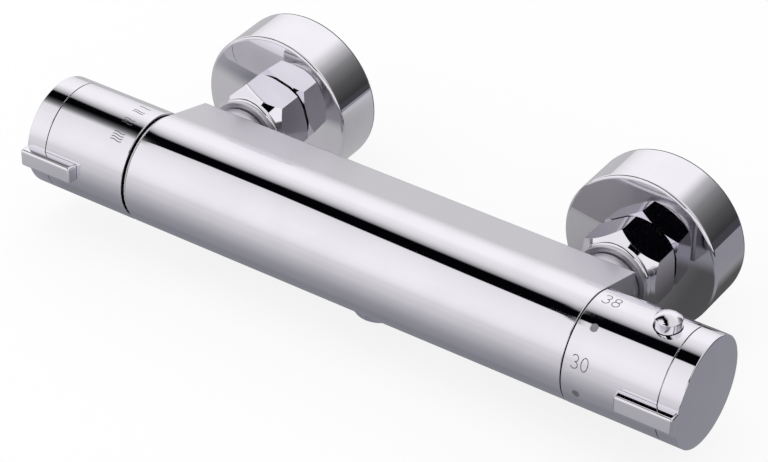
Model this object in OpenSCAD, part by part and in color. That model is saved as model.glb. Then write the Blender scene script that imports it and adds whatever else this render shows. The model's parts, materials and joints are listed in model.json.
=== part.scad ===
// Thermostatic shower valve for two wall inlets: a fixed bar between a flow handle (left)
// and a temperature handle (right). Left inlet is hot, right inlet is cold.
// Frame: origin on the wall plane midway between the wall inlets, X along the bar to the right,
// Y into the wall, Z up. Pieces are drawn about the bar's axis and moved by on_wall().

/* [Bar] */
// diameter of the round front of the fixed bar
body_d = 39.3; // [38.8:0.1:41]
// length of the fixed bar between the two handles
body_length = 174.4; // [173.6:0.1:178]
// bar axis to the flat rear face
block_depth = 28.1; // [27:0.1:29]
// height of the flat rear face
block_height = 24.9; // [22:0.1:27]
// rounding of the rear face's upright ends
block_corner = 1.5; // [0.8:0.1:2.5]
// bevel round the ends of the fixed bar
body_bevel = 0.3; // [0.2:0.05:0.6]
// centre distance of the two inlets
inlet_spacing = 150; // [149:0.5:152]
// bar axis to the wall
wall_reach = 72.5; // [72:0.25:75]

/* [Inlets] */
// diameter of the two round bosses on the rear face
boss_d = 26; // [25:0.1:26.6]
// bar axis to the bosses' end faces
boss_reach = 35.1; // [34:0.1:35.4]
// where a boss starts, behind the bar axis
boss_root = 21; // [20.6:0.1:23]
// thread diameter of the inlet nipples
nipple_d = 19; // [18:0.1:20]
// waterway through the nipples
nipple_bore = 14.2; // [13.8:0.1:15]
// depth of a nipple inside its boss
nipple_depth = 14; // [12:0.1:15]
// flange diameter of the nipples
flange_d = 25; // [23:0.1:25.6]
// flange thickness of the nipples
flange_t = 2.2; // [1.8:0.1:3]
// union nut across its flats
nut_flats = 28.5; // [28.3:0.1:30]
// diameter of the union nut's small front face
nut_front_d = 26.7; // [25.5:0.1:27.4]
// gap between the union nut and the crown of the escutcheon
cover_gap = 0.2; // [0.1:0.05:1.2]
// length of the union nut's conical front
nut_cone = 5.2; // [4:0.1:6]
// chamfer of the union nut's rear corners
nut_chamfer = 0.5; // [0.3:0.1:1]
// web of the union nut behind the nipple flange
nut_web = 2.8; // [2.2:0.1:3.2]
// gap between a boss and its union nut
nut_gap = 0.3; // [0.2:0.05:0.5]
// turn of the hot nut about its axis
hot_nut_turn = 14; // [0:1:60]
// turn of the cold nut about its axis
cold_nut_turn = 26.7; // [0:0.1:60]
// thickness of the filter washer
washer_t = 2; // [1.5:0.1:2.5]
// thickness of the filter washer's mesh
mesh_t = 0.5; // [0.4:0.1:0.8]
// diameter of one mesh hole
mesh_hole = 1.4; // [1:0.1:1.6]
// pitch of the mesh holes
mesh_pitch = 2.2; // [2:0.1:2.6]

/* [Wall_Unions] */
// thread diameter on the valve side
union_d = 26.2; // [25.8:0.1:26.4]
// thread diameter on the wall side
wall_thread_d = 20.96; // [20.8:0.02:21]
// length of the wall thread behind the wall
wall_thread_l = 14; // [10:0.5:20]
// diameter of the union between its web and the wall thread
wall_neck_d = 20; // [19:0.1:20.5]
// height of the bar axis above the wall inlets
union_offset = 7; // [5:0.5:7.5]
// waterway through the wall unions
union_bore = 15; // [13:0.5:15.5]
// depth of the union's valve side behind the washer
union_barrel = 18; // [16:0.5:19]
// axial overlap of the union's two barrels
union_web = 4; // [3:0.5:5]

/* [Escutcheons] */
// escutcheon diameter
escutcheon_d = 58.8; // [58:0.2:62]
// wall to the crown of the escutcheon's face
escutcheon_depth = 21; // [20:0.1:21.2]
// wall thickness of the escutcheon
escutcheon_t = 1.6; // [1.2:0.1:2]
// radius of the rounded rim
rim_round = 1.2; // [0.8:0.1:1.5]
// how far the face falls from its crown to the rim
face_crown = 0.8; // [0.5:0.1:1.2]
// diameter of the threaded hub inside the escutcheon
hub_d = 31; // [30:0.1:32]
// length of that hub
hub_l = 4.6; // [4:0.1:5]
// width of the foam seal against the wall
seal_w = 3.5; // [2.5:0.1:4]
// thickness of the foam seal
seal_t = 1.5; // [1:0.1:2]

/* [Outlet] */
// thread diameter of the outlet
outlet_d = 20.96; // [20.8:0.02:21]
// outlet axis behind the bar axis
outlet_back = 9; // [8.5:0.1:10]
// length of the outlet thread below the pad
outlet_l = 7.7; // [6.4:0.1:10.4]
// diameter of the pad under the bar
pad_d = 24.4; // [23.6:0.1:25]
// how far the pad's lower face stands below the round front
pad_stand = 0.95; // [0.85:0.05:1.85]
// waterway through the outlet
outlet_bore = 13; // [12:0.1:13.5]
// shank diameter of the outlet nipple
outlet_shank = 18; // [17:0.1:19]
// depth of the shank inside the body
outlet_depth = 5; // [4:0.1:5.5]

/* [Waterways] */
// distance of the supply channels behind the bar axis
supply_back = 20; // [19.6:0.1:20.4]
// diameter of the supply channels
supply_d = 7; // [5:0.1:7.4]
// diameter of the cross holes into the cartridge
port_d = 6; // [4:0.1:6.6]
// diameter of the mixed water chamber
mixed_d = 13; // [12:0.1:13.6]
// diameter of the return channel to the outlet
return_d = 6; // [5:0.1:6.4]
// distance of the return channel below the bar axis
return_drop = 13; // [12.6:0.1:13.4]
// distance of the return channel behind the bar axis
return_back = 6; // [5:0.1:7]

/* [Check_Valves] */
// length of the check valve cage
cage_l = 13; // [12.6:0.1:14]
// wall of the check valve cage
cage_t = 1.3; // [1:0.1:1.6]
// end plate of the check valve cage
cage_plate = 1.6; // [1.2:0.1:2]
// diameter of the poppet's head
poppet_d = 9.4; // [9:0.1:9.8]
// height of the poppet's cone
poppet_cone = 2.4; // [2:0.1:3]
// stem diameter of the poppet
poppet_stem = 2.6; // [2:0.1:3]

/* [Cartridge] */
// bore of the bar for the thermostatic cartridge
cartridge_d = 27; // [26.4:0.1:27.4]
// depth of that bore from the bar's end
cartridge_depth = 52; // [51:0.5:54]
// thread diameter of the bar's two mouths
mouth_d = 30; // [29.4:0.1:30.4]
// depth of the threaded mouths
mouth_depth = 14; // [13:0.1:14.5]
// inner diameter of the cartridge sleeve
sleeve_bore = 18; // [17:0.1:18.4]
// lip at the sleeve's inner end
sleeve_lip = 2; // [1.6:0.1:2.4]
// opening of that lip
lip_d = 12; // [11:0.1:12.6]
// distance of the hot port from the bore's floor
hot_port = 9; // [8.5:0.1:9.5]
// distance of the cold port from the bore's floor
cold_port = 25; // [24.5:0.1:25.5]
// diameter of the holes through the sleeve
sleeve_hole = 4; // [3:0.1:5]
// width of the annular groove at a port
port_groove = 7; // [6:0.1:7.6]
// depth of the annular groove
groove_depth = 1.5; // [1:0.1:1.8]
// section diameter of the O-rings
oring_d = 2; // [1.6:0.1:2.2]
// land between an O-ring and a port groove
oring_land = 1.2; // [0.8:0.1:1.4]
// length of the mixing shuttle
shuttle_l = 12; // [11.5:0.1:12.5]
// wall of the mixing shuttle
shuttle_t = 1.6; // [1.2:0.1:2]
// distance of the shuttle from the sleeve's lip
shuttle_gap = 6.4; // [6:0.1:7]
// diameter of the wax bulb
bulb_d = 9; // [8:0.1:9.6]
// length of the wax bulb
bulb_l = 22; // [20:0.5:24]
// diameter of the element's piston
piston_d = 3.6; // [3:0.1:4]
// length of the element's piston
piston_l = 9; // [8:0.1:10]
// diameter of the regulating nut's cup
cup_d = 11; // [10:0.1:12]
// length of that cup
cup_l = 5; // [4:0.1:6]
// thread diameter of the regulating stem
stem_d = 7; // [6:0.1:7.4]
// length of the regulating stem
stem_l = 9; // [8:0.1:9.5]
// sliding clearance of shuttle and regulating stem
slide_gap = 0.06; // [0.04:0.01:0.09]

/* [Headworks] */
// bore of the bar for the flow headwork
headwork_d = 24; // [23.4:0.1:24.4]
// depth of that bore from the bar's end
headwork_depth = 34; // [33:0.1:34.6]
// thickness of the rubber seal under the discs
disc_seal_t = 1.5; // [1.2:0.1:2]
// thickness of one ceramic disc
disc_t = 3; // [2.6:0.1:3.2]
// diameter of the ceramic discs
disc_d = 18; // [17:0.1:18.4]
// diameter across the disc windows
window_d = 14; // [13:0.1:14.6]
// diameter of the solid core between the windows
core_d = 4; // [3:0.1:5]
// angle that a disc window covers
window_angle = 80; // [70:1:84]
// play between the two discs
disc_gap = 0.02; // [0.01:0.01:0.05]
// wall of the headwork housing
housing_t = 2.6; // [2.2:0.1:2.8]
// width of the housing's side windows
side_window = 6; // [5:0.1:6.6]
// distance of the side windows from the discs
window_land = 1.2; // [0.8:0.1:1.6]
// spindle diameter
spindle_d = 12; // [11:0.1:12.4]
// flange diameter on the spindle's inner end
spindle_flange_d = 16; // [15:0.1:16.6]
// flange thickness of the spindle
spindle_flange_t = 2; // [1.6:0.1:2.4]
// diameter of the splined outer end
spline_d = 8.8; // [8:0.1:9.4]
// length of the splined outer end
spline_l = 9; // [8:0.1:9.6]
// number of spline grooves
spline_count = 16; // [12:1:20]
// depth of a spline groove
spline_depth = 0.5; // [0.3:0.05:0.6]
// across flats of the head nuts
head_flats = 26; // [25:0.1:27]
// height of the head nuts' hexagon
head_t = 4; // [3:0.1:4.4]
// gap between bar and head hexagon
head_gap = 0.3; // [0.2:0.05:0.5]
// diameter of the collar that carries the stop ring
collar_d = 17; // [16.5:0.1:18]
// length of that collar
collar_l = 2.6; // [2.4:0.1:3]
// thickness of the retaining clip
clip_t = 0.9; // [0.8:0.05:1.2]
// outer diameter of the retaining clip
clip_d = 15; // [14:0.1:16]
// depth of the clip's groove in the spindle
clip_depth = 0.9; // [0.7:0.1:1.2]

/* [Stops] */
// outer diameter of the stop rings
stop_d = 31.6; // [31:0.1:32]
// thickness of the stop rings' disc
stop_t = 1; // [0.8:0.1:1.4]
// inner diameter of the stop lug
lug_d = 27.2; // [27:0.1:27.6]
// length of the stop lug along the bar
lug_l = 3.2; // [2.6:0.1:3.4]
// angle that a stop lug covers
lug_angle = 22; // [16:1:30]
// clearance between a lug and what rests on it
lug_gap = 0.15; // [0.1:0.05:0.3]

/* [Handles] */
// diameter of both handles
handle_d = 39.4; // [39:0.1:41]
// inner diameter of both handles
handle_bore = 32.8; // [32.6:0.1:33.4]
// bar centre to the outer end faces
end_reach = 130.2; // [130:0.1:134]
// length of the end caps
cap_l = 7.8; // [7:0.1:8.4]
// groove between handle and cap
cap_groove = 0.3; // [0.2:0.05:0.5]
// depth of that groove
cap_groove_depth = 0.5; // [0.3:0.1:0.8]
// gap between the bar and the temperature handle
joint_gap = 0.4; // [0.3:0.05:0.6]
// width of the dark trim ring at the flow handle
trim_w = 1.4; // [1:0.1:1.6]
// how far the trim ring stands below the handle's surface
trim_depth = 0.7; // [0.4:0.1:1.2]
// edge rounding of the handles and caps
handle_edge = 0.4; // [0.2:0.05:0.8]
// length of the caps' plug inside the handle
plug_l = 5; // [4:0.1:5.6]
// wall of the caps' plug and face
cap_t = 1.6; // [1.4:0.1:2.2]
// length of the lever along the bar
lever_l = 22.4; // [20:0.1:25]
// height of the lever
lever_h = 6.5; // [6:0.1:8]
// bar axis to the lever's front face
lever_reach = 23.4; // [23:0.1:28]
// corner rounding of the lever
lever_round = 1; // [0.6:0.1:1.6]
// slant of the lever's inner end, further out at its front
lever_slant = 1; // [0.5:0.1:2]
// height of the flow lever's middle above the bar axis
flow_lever_z = 0.7; // [0:0.1:5]
// height of the temperature lever's middle above the bar axis
temperature_lever_z = 0.9; // [0:0.1:5]
// clearance between lever and handle
lever_gap = 0.15; // [0.1:0.05:0.3]
// distance of the splined insert from the bar's end
insert_gap = 11; // [10.4:0.1:11.4]
// thickness of the insert's disc
insert_t = 3.4; // [3:0.1:4]
// diameter of the insert's boss
insert_boss_d = 14; // [13:0.1:15]
// length of the insert's boss
insert_boss_l = 8; // [7.5:0.1:9]
// screw head diameter
screw_head_d = 7; // [6:0.1:7.6]
// screw head height
screw_head_t = 2.6; // [2:0.1:3]
// screw thread diameter
screw_d = 4; // [3.5:0.1:4.4]
// screw thread length
screw_l = 12; // [11:0.5:13]
// across flats of the screw's socket
screw_socket = 2.5; // [2:0.1:3]

/* [Button] */
// diameter of the safety button
button_d = 9.2; // [8.6:0.1:10]
// button centre before the outer end face
button_inset = 16; // [15.4:0.1:16.4]
// bar axis to the button's crown
button_top = 24.6; // [24:0.1:26]
// height of the button's domed crown
button_dome = 1.3; // [0.8:0.1:1.6]
// diameter of the button's flange inside the handle
button_flange_d = 11.4; // [11:0.1:12]
// thickness of that flange
button_flange_t = 1.9; // [1.6:0.1:2]
// bar axis to the flange's upper face
button_seat = 15.2; // [14.9:0.05:15.2]
// press travel of the button
button_travel = 2; // [1.6:0.1:2]
// width of the button's latch arm
arm_w = 6; // [5:0.1:6.2]
// bar axis to the spring shelf
shelf_z = 8.4; // [8:0.1:8.6]
// thickness of the spring shelf
shelf_t = 2; // [1.6:0.1:2.2]
// width of the spring shelf
shelf_w = 11; // [10.4:0.1:12]

/* [Springs] */
// wire diameter of the return spring
spring_wire = 1; // [0.8:0.1:1.2]
// wire diameter of the small springs
small_wire = 0.6; // [0.5:0.05:0.7]
// coil diameter of the button's spring
button_coil = 6; // [5.4:0.1:6.6]

/* [Fits] */
// radial clearance of threads and plugged fits
fit_gap = 0.05; // [0.03:0.01:0.08]
// radial clearance of spindles and the button
turn_gap = 0.05; // [0.03:0.01:0.08]

/* [Hidden] */
$fn = 96;
chrome = [0.8, 0.81, 0.83];
brass = [0.78, 0.64, 0.35];
rubber = [0.12, 0.12, 0.12];
plastic = [0.25, 0.26, 0.28];
ceramic = [0.93, 0.92, 0.88];
steel = [0.62, 0.63, 0.65];

// how far a cut runs past the face that it opens, as a share of the bar
overrun_share = 0.03;
overrun = body_d * overrun_share;
// slope of the poppet's cone, across for its height
seat_share = 0.8;
// part of the wall union's web that each of its bores reaches into
web_share = 0.25;
// part of the sleeve's radius at which its port holes start
hole_start_share = 0.66;
// width of the cage's holes, and how far out they stand, as shares of its bore
cage_hole_shares = [0.25, 0.33];
// depth of the cup and of the piston in it, as a share of the cup
cup_share = 0.5;
// part of a screw that is below its head and inside the spindle
screw_share = 0.75;
// distance of the headwork's ring groove from the mouth, as a share of the ring's section
ring_share = 1.25;
bar_end = body_length / 2;
inlet_x = inlet_spacing / 2;
pad_drop = body_d / 2 + pad_stand;
outlet_drop = pad_drop + outlet_l;
// the sloping faces leave the round front along a tangent
block_dist = sqrt(pow(block_depth, 2) + pow(block_height / 2, 2));
tangent_angle = atan2(block_height / 2, block_depth) + acos(body_d / 2 / block_dist);
tangent_y = body_d / 2 * cos(tangent_angle);
tangent_z = body_d / 2 * sin(tangent_angle);

nut_front = boss_reach + nut_gap;
nut_rear = wall_reach - escutcheon_depth - cover_gap;
nut_length = nut_rear - nut_front;
nut_corner = nut_flats / 2 / cos(30);
flange_front = nut_front + nut_web;
flange_rear = flange_front + flange_t;
union_front = flange_rear + washer_t;
barrel_end = union_front + union_barrel;
face_y = wall_reach - escutcheon_depth;
// the union's web starts behind the hub of the escutcheon
web_start = max(barrel_end - union_web, face_y + hub_l + lug_gap);
cage_d = nipple_bore - 2 * fit_gap;
cage_bore = cage_d - 2 * cage_t;
cage_start = flange_rear - cage_l;
guide_y = cage_start + cage_plate;
seat_y = flange_rear - cage_plate;
seat_d = poppet_d - 2 * seat_share * poppet_cone;
face_radius = (pow(escutcheon_d / 2, 2) + pow(face_crown, 2)) / (2 * face_crown);

cartridge_floor = bar_end - cartridge_depth;
mouth_floor = bar_end - mouth_depth;
hot_port_x = cartridge_floor + hot_port;
cold_port_x = cartridge_floor + cold_port;
oring_mid = (hot_port_x + cold_port_x) / 2;
oring_step = (cold_port_x - hot_port_x) / 2 + port_groove / 2 + oring_land + oring_d / 2;
lip_x = cartridge_floor + sleeve_lip;
shuttle_x = lip_x + shuttle_gap;
shuttle_end = shuttle_x + shuttle_l;
piston_end = shuttle_end + piston_l / 2;
headwork_floor = bar_end - headwork_depth;
fixed_x = headwork_floor + disc_seal_t;
moving_x = fixed_x + disc_t + disc_gap;
disc_end = moving_x + disc_t;
window_x = disc_end + side_window / 2 + window_land;
head_x = bar_end + head_gap;
collar_x = head_x + head_t;
stop_x = collar_x;
clip_x = collar_x + collar_l + turn_gap;
insert_x = bar_end + insert_gap;
spline_end = insert_x + spline_l;
spline_x = insert_x;
boss_end = insert_x + insert_boss_l;
temperature_start = bar_end + joint_gap;
flow_start = bar_end + joint_gap / 2 + trim_w + joint_gap / 2;
cap_x = end_reach - cap_l;
button_x = end_reach - button_inset;
arm_x = stop_x + stop_t + head_gap;

module on_wall() {
    translate([0, -wall_reach, union_offset]) children();
}

module on_inlet(side) {
    on_wall() translate([side * inlet_x, 0, 0]) children();
}

module on_left() {
    on_wall() mirror([1, 0, 0]) children();
}

module rod_x(start, end, d) {
    translate([start, 0, 0]) rotate([0, 90, 0]) cylinder(h = end - start, d = d);
}

module rod_y(start, end, d) {
    translate([0, start, 0]) rotate([-90, 0, 0]) cylinder(h = end - start, d = d);
}

module tube_x(start, end, outer, inner) {
    difference() {
        rod_x(start, end, outer);
        rod_x(start - overrun, end + overrun, inner);
    }
}

module tube_y(start, end, outer, inner) {
    difference() {
        rod_y(start, end, outer);
        rod_y(start - overrun, end + overrun, inner);
    }
}

// a rod with its two end edges bevelled
module eased_rod_x(start, end, d, ease) {
    translate([start, 0, 0]) rotate([0, 90, 0]) rotate_extrude()
        polygon([
            [0, 0], [d / 2 - ease, 0], [d / 2, ease], [d / 2, end - start - ease],
            [d / 2 - ease, end - start], [0, end - start]
        ]);
}

module box(x, y, z) {
    translate([x[0], y[0], z[0]]) cube([x[1] - x[0], y[1] - y[0], z[1] - z[0]]);
}

// a coil along +Z with its two ends ground flat. Its level section is a long crescent, whose
// arms reach as far round as the wire is high
module coil(height, coil_d, wire, turns) {
    half_arc = 180 * turns * wire / height;
    arc = [for (i = [0:6]) -cos(i * 30)];
    outer = [for (t = arc) (coil_d + wire * sqrt(1 - t * t)) / 2 * [cos(t * half_arc), sin(t * half_arc)]];
    inner = [for (i = [5:-1:1]) (coil_d - wire * sqrt(1 - arc[i] * arc[i])) / 2
                                * [cos(arc[i] * half_arc), sin(arc[i] * half_arc)]];
    linear_extrude(height = height, twist = -360 * turns, slices = turns * 12, $fn = 3)
        polygon(concat(outer, inner));
}

// one wedge of a ring, from angle 0 to its span, drawn flat
module sector(outer, inner, span) {
    intersection() {
        difference() {
            circle(d = outer);
            circle(d = inner);
        }
        polygon([[0, 0], [outer, 0], [outer * cos(span / 2), outer * sin(span / 2)],
                 [outer * cos(span), outer * sin(span)]]);
    }
}

module o_ring(x, bore_d) {
    translate([x, 0, 0]) rotate([0, 90, 0]) rotate_extrude()
        translate([(bore_d - oring_d) / 2, 0]) circle(d = oring_d - fit_gap);
}

// Bar
module body_outline() {
    intersection() {
        union() {
            eased_rod_x(-bar_end, bar_end, body_d, body_bevel);
            rotate([90, 0, 90]) translate([0, 0, -bar_end]) linear_extrude(body_length)
                polygon([[0, 0], [tangent_y, tangent_z], [block_depth, block_height / 2],
                         [block_depth, -block_height / 2], [tangent_y, -tangent_z]]);
        }
        translate([0, 0, -body_d]) linear_extrude(2 * body_d) {
            translate([-bar_end, -body_d])
                square([body_length, body_d + block_depth - block_corner]);
            translate([-bar_end + block_corner, 0])
                square([body_length - 2 * block_corner, block_depth]);
            for (side = [-1, 1])
                translate([side * (bar_end - block_corner), block_depth - block_corner])
                    circle(r = block_corner);
        }
    }
}

module body_waterways() {
    // thermostatic cartridge on the right, flow headwork on the left
    rod_x(cartridge_floor, bar_end + overrun, cartridge_d);
    rod_x(mouth_floor, bar_end + overrun, mouth_d);
    rod_x(-bar_end - overrun, -headwork_floor, headwork_d);
    rod_x(-bar_end - overrun, -mouth_floor, mouth_d);
    rod_x(-headwork_floor - overrun, cartridge_floor + overrun, mixed_d);
    // hot water crosses behind the mixed chamber, cold water turns back to its port
    translate([0, supply_back, 0]) rod_x(-inlet_x, hot_port_x, supply_d);
    translate([0, supply_back, 0]) rod_x(cold_port_x, inlet_x, supply_d);
    for (x = [hot_port_x, cold_port_x]) translate([x, 0, 0]) rod_y(0, supply_back, port_d);
    // mixed water runs back from the headwork to the outlet
    translate([0, return_back, -return_drop]) rod_x(-window_x, 0, return_d);
}

module valve_body() {
    color(chrome) on_wall() difference() {
        union() {
            body_outline();
            for (side = [-1, 1])
                translate([side * inlet_x, 0, 0]) rod_y(boss_root, boss_reach, boss_d);
            translate([0, outlet_back, -pad_drop]) cylinder(h = pad_drop - mixed_d / 2, d = pad_d);
        }
        body_waterways();
        for (side = [-1, 1]) translate([side * inlet_x, 0, 0])
            rod_y(boss_reach - nipple_depth - supply_d / 2, boss_reach + overrun, nipple_d + 2 * fit_gap);
        translate([0, outlet_back, -pad_drop - overrun])
            cylinder(h = outlet_depth + overrun, d = outlet_shank + 2 * fit_gap);
        translate([0, outlet_back, -pad_drop])
            cylinder(h = pad_drop - return_drop + return_d / 2, d = outlet_bore);
    }
}

module outlet_nipple() {
    color(chrome) on_wall() translate([0, outlet_back, -outlet_drop]) difference() {
        union() {
            cylinder(h = outlet_drop - pad_drop, d = outlet_d);
            cylinder(h = outlet_drop - pad_drop + outlet_depth, d = outlet_shank);
        }
        translate([0, 0, -overrun])
            cylinder(h = outlet_drop + overrun, d = outlet_bore);
    }
}

// Inlets
module inlet_nipple(side) {
    color(brass) on_inlet(side) difference() {
        union() {
            rod_y(boss_reach - nipple_depth, flange_rear, nipple_d);
            rod_y(flange_front, flange_rear, flange_d);
        }
        rod_y(boss_reach - nipple_depth - overrun, flange_rear + overrun, nipple_bore);
    }
}

module hot_inlet_nipple() {
    inlet_nipple(-1);
}

module cold_inlet_nipple() {
    inlet_nipple(1);
}

// the turned outline is a little wider than the hexagon's corners, which it bevels at both ends
module union_nut(side, turn) {
    wide = nut_corner + overrun;
    cone_slope = nut_cone / (nut_corner - nut_front_d / 2);
    color(chrome) on_inlet(side) difference() {
        intersection() {
            rotate([0, turn, 0]) translate([0, nut_front, 0]) rotate([-90, 0, 0])
                cylinder(h = nut_length, r = nut_corner, $fn = 6);
            translate([0, nut_front, 0]) rotate([-90, 0, 0]) rotate_extrude()
                polygon([
                    [0, 0], [nut_front_d / 2, 0], [wide, nut_cone + overrun * cone_slope],
                    [wide, nut_length - nut_chamfer - overrun / 2],
                    [nut_corner - 2 * nut_chamfer, nut_length], [0, nut_length]
                ]);
        }
        rod_y(nut_front - overrun, nut_rear, nipple_d + 2 * fit_gap);
        rod_y(flange_front, nut_rear + overrun, union_d + 2 * fit_gap);
    }
}

module hot_union_nut() {
    union_nut(-1, hot_nut_turn);
}

module cold_union_nut() {
    union_nut(1, cold_nut_turn);
}

module filter_washer(side) {
    color(rubber) on_inlet(side) {
        tube_y(flange_rear, union_front, flange_d, nipple_bore);
        difference() {
            rod_y(flange_rear, flange_rear + mesh_t, nipple_bore + mesh_t);
            for (i = [-2:2], j = [-2:2])
                if (norm([i, j]) * mesh_pitch < nipple_bore / 2 - mesh_hole)
                    translate([i * mesh_pitch, 0, j * mesh_pitch])
                        rod_y(flange_rear - overrun, flange_rear + mesh_t + overrun, mesh_hole);
        }
    }
}

module hot_filter_washer() {
    filter_washer(-1);
}

module cold_filter_washer() {
    filter_washer(1);
}

module wall_union(side) {
    web = barrel_end - web_start;
    color(brass) on_inlet(side) difference() {
        union() {
            rod_y(union_front, barrel_end, union_d);
            translate([0, 0, -union_offset]) {
                rod_y(web_start, wall_reach, wall_neck_d);
                rod_y(wall_reach, wall_reach + wall_thread_l, wall_thread_d);
            }
        }
        rod_y(union_front - overrun, barrel_end - web_share * web, union_bore);
        translate([0, 0, -union_offset])
            rod_y(web_start + web_share * web, wall_reach + wall_thread_l + overrun, union_bore);
    }
}

module hot_wall_union() {
    wall_union(-1);
}

module cold_wall_union() {
    wall_union(1);
}

// half section of the escutcheon: across is its radius, up runs from the crown to the wall
module escutcheon_section() {
    r = escutcheon_d / 2;
    difference() {
        intersection() {
            union() {
                square([r - rim_round, escutcheon_depth]);
                translate([0, face_crown + rim_round])
                    square([r, escutcheon_depth - face_crown - rim_round]);
                translate([r - rim_round, face_crown + rim_round]) circle(r = rim_round);
            }
            union() {
                translate([0, face_radius]) circle(r = face_radius, $fn = 720);
                translate([0, face_radius]) square([r, face_radius]);
            }
            square([r, escutcheon_depth]);
        }
        translate([hub_d / 2, face_crown + escutcheon_t])
            square([r - escutcheon_t - hub_d / 2, escutcheon_depth]);
        translate([0, hub_l]) square([r - escutcheon_t, escutcheon_depth]);
        translate([0, -overrun]) square([union_d / 2 + fit_gap, escutcheon_depth]);
    }
}

module escutcheon(side) {
    color(chrome) on_inlet(side) translate([0, face_y, 0]) rotate([-90, 0, 0])
        rotate_extrude() escutcheon_section();
}

module hot_escutcheon() {
    escutcheon(-1);
}

module cold_escutcheon() {
    escutcheon(1);
}

module wall_seal(side) {
    seal_d = escutcheon_d - 2 * escutcheon_t - 2 * fit_gap;
    color(rubber) on_inlet(side)
        tube_y(wall_reach - seal_t, wall_reach, seal_d, seal_d - 2 * seal_w);
}

module hot_wall_seal() {
    wall_seal(-1);
}

module cold_wall_seal() {
    wall_seal(1);
}

// Check valves; water runs towards -Y and lifts the poppet off its seat
module check_cage(side) {
    color(plastic) on_inlet(side) difference() {
        rod_y(cage_start, flange_rear, cage_d);
        rod_y(guide_y, seat_y, cage_bore);
        rod_y(seat_y - overrun, flange_rear + overrun, seat_d);
        rod_y(cage_start - overrun, guide_y + overrun, poppet_stem + 4 * turn_gap);
        for (a = [0:60:300]) rotate([0, a, 0]) translate([cage_hole_shares[1] * cage_bore, 0, 0])
            rod_y(cage_start - overrun, guide_y + overrun, cage_hole_shares[0] * cage_bore);
    }
}

module hot_check_cage() {
    check_cage(-1);
}

module cold_check_cage() {
    check_cage(1);
}

module check_poppet(side) {
    head = poppet_d / 2;
    color(ceramic) on_inlet(side) translate([0, seat_y, 0]) rotate([90, 0, 0]) rotate_extrude()
        polygon([
            [0, turn_gap], [seat_d / 2 + turn_gap, turn_gap], [head, poppet_cone],
            [head, poppet_cone + cage_t], [poppet_stem / 2, poppet_cone + cage_t],
            [poppet_stem / 2, seat_y - cage_start], [0, seat_y - cage_start]
        ]);
}

module hot_check_poppet() {
    check_poppet(-1);
}

module cold_check_poppet() {
    check_poppet(1);
}

module check_spring(side) {
    top = seat_y - poppet_cone - cage_t;
    color(steel) on_inlet(side) translate([0, guide_y, 0]) rotate([-90, 0, 0])
        coil(top - guide_y, (poppet_d + poppet_stem) / 2 - small_wire, small_wire, 4);
}

module hot_check_spring() {
    check_spring(-1);
}

module cold_check_spring() {
    check_spring(1);
}

// Thermostatic cartridge
module cartridge_sleeve() {
    outer = cartridge_d - 2 * fit_gap;
    color(plastic) on_wall() difference() {
        rod_x(cartridge_floor, mouth_floor, outer);
        rod_x(lip_x, mouth_floor + overrun, sleeve_bore);
        rod_x(cartridge_floor - overrun, lip_x + overrun, lip_d);
        for (x = [hot_port_x, cold_port_x]) {
            translate([x - port_groove / 2, 0, 0])
                tube_x(0, port_groove, outer + overrun, outer - 2 * groove_depth);
            for (a = [0:60:300]) rotate([a, 0, 0]) translate([x, 0, 0])
                rod_y(hole_start_share * outer / 2, outer, sleeve_hole);
        }
        for (i = [-1:1]) translate([oring_mid + i * oring_step - oring_d / 2 - fit_gap, 0, 0])
            tube_x(0, oring_d + 2 * fit_gap, outer + overrun, cartridge_d - 2 * oring_d);
    }
}

module cartridge_oring_inner() {
    color(rubber) on_wall() o_ring(oring_mid - oring_step, cartridge_d);
}

module cartridge_oring_middle() {
    color(rubber) on_wall() o_ring(oring_mid, cartridge_d);
}

module cartridge_oring_outer() {
    color(rubber) on_wall() o_ring(oring_mid + oring_step, cartridge_d);
}

module mixing_shuttle() {
    outer = sleeve_bore - 2 * slide_gap;
    color(ceramic) on_wall() {
        tube_x(shuttle_x, shuttle_end, outer, outer - 2 * shuttle_t);
        difference() {
            rod_x(shuttle_end - shuttle_t, shuttle_end, outer - shuttle_t);
            rod_x(shuttle_end - shuttle_t - overrun, shuttle_end + overrun, bulb_d + 2 * fit_gap);
            for (a = [0:60:300]) rotate([a, 0, 0]) translate([0, (bulb_d + outer) / 4 - shuttle_t / 4, 0])
                rod_x(shuttle_end - shuttle_t - overrun, shuttle_end + overrun, shuttle_t);
        }
    }
}

module thermo_element() {
    color(brass) on_wall() {
        rod_x(shuttle_end - bulb_l, shuttle_end, bulb_d);
        rod_x(shuttle_end, shuttle_end + shuttle_t, bulb_d + shuttle_t);
        rod_x(shuttle_end, piston_end + cup_share * cup_l, piston_d);
    }
}

module regulating_nut() {
    color(brass) on_wall() difference() {
        union() {
            rod_x(piston_end, piston_end + cup_l, cup_d);
            rod_x(piston_end, piston_end + cup_l + stem_l, stem_d - 2 * slide_gap);
        }
        rod_x(piston_end - overrun, piston_end + cup_share * cup_l, piston_d + 2 * fit_gap);
    }
}

module return_spring() {
    color(steel) on_wall() translate([lip_x, 0, 0]) rotate([0, 90, 0])
        coil(shuttle_gap, (lip_d + sleeve_bore) / 2, spring_wire, 3);
}

// Parts that both ends share; drawn for the right end
module head_nut(inner_x, shank) {
    difference() {
        union() {
            rod_x(mouth_floor, bar_end, mouth_d - 2 * fit_gap);
            translate([bar_end, 0, 0]) rotate([0, 90, 0])
                cylinder(h = head_gap + head_t, d = head_flats / cos(30), $fn = 6);
            rod_x(collar_x, collar_x + collar_l, collar_d);
        }
        rod_x(mouth_floor - overrun, inner_x, shank);
        rod_x(mouth_floor, collar_x + collar_l + overrun, spindle_d + 2 * turn_gap);
    }
}

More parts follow.
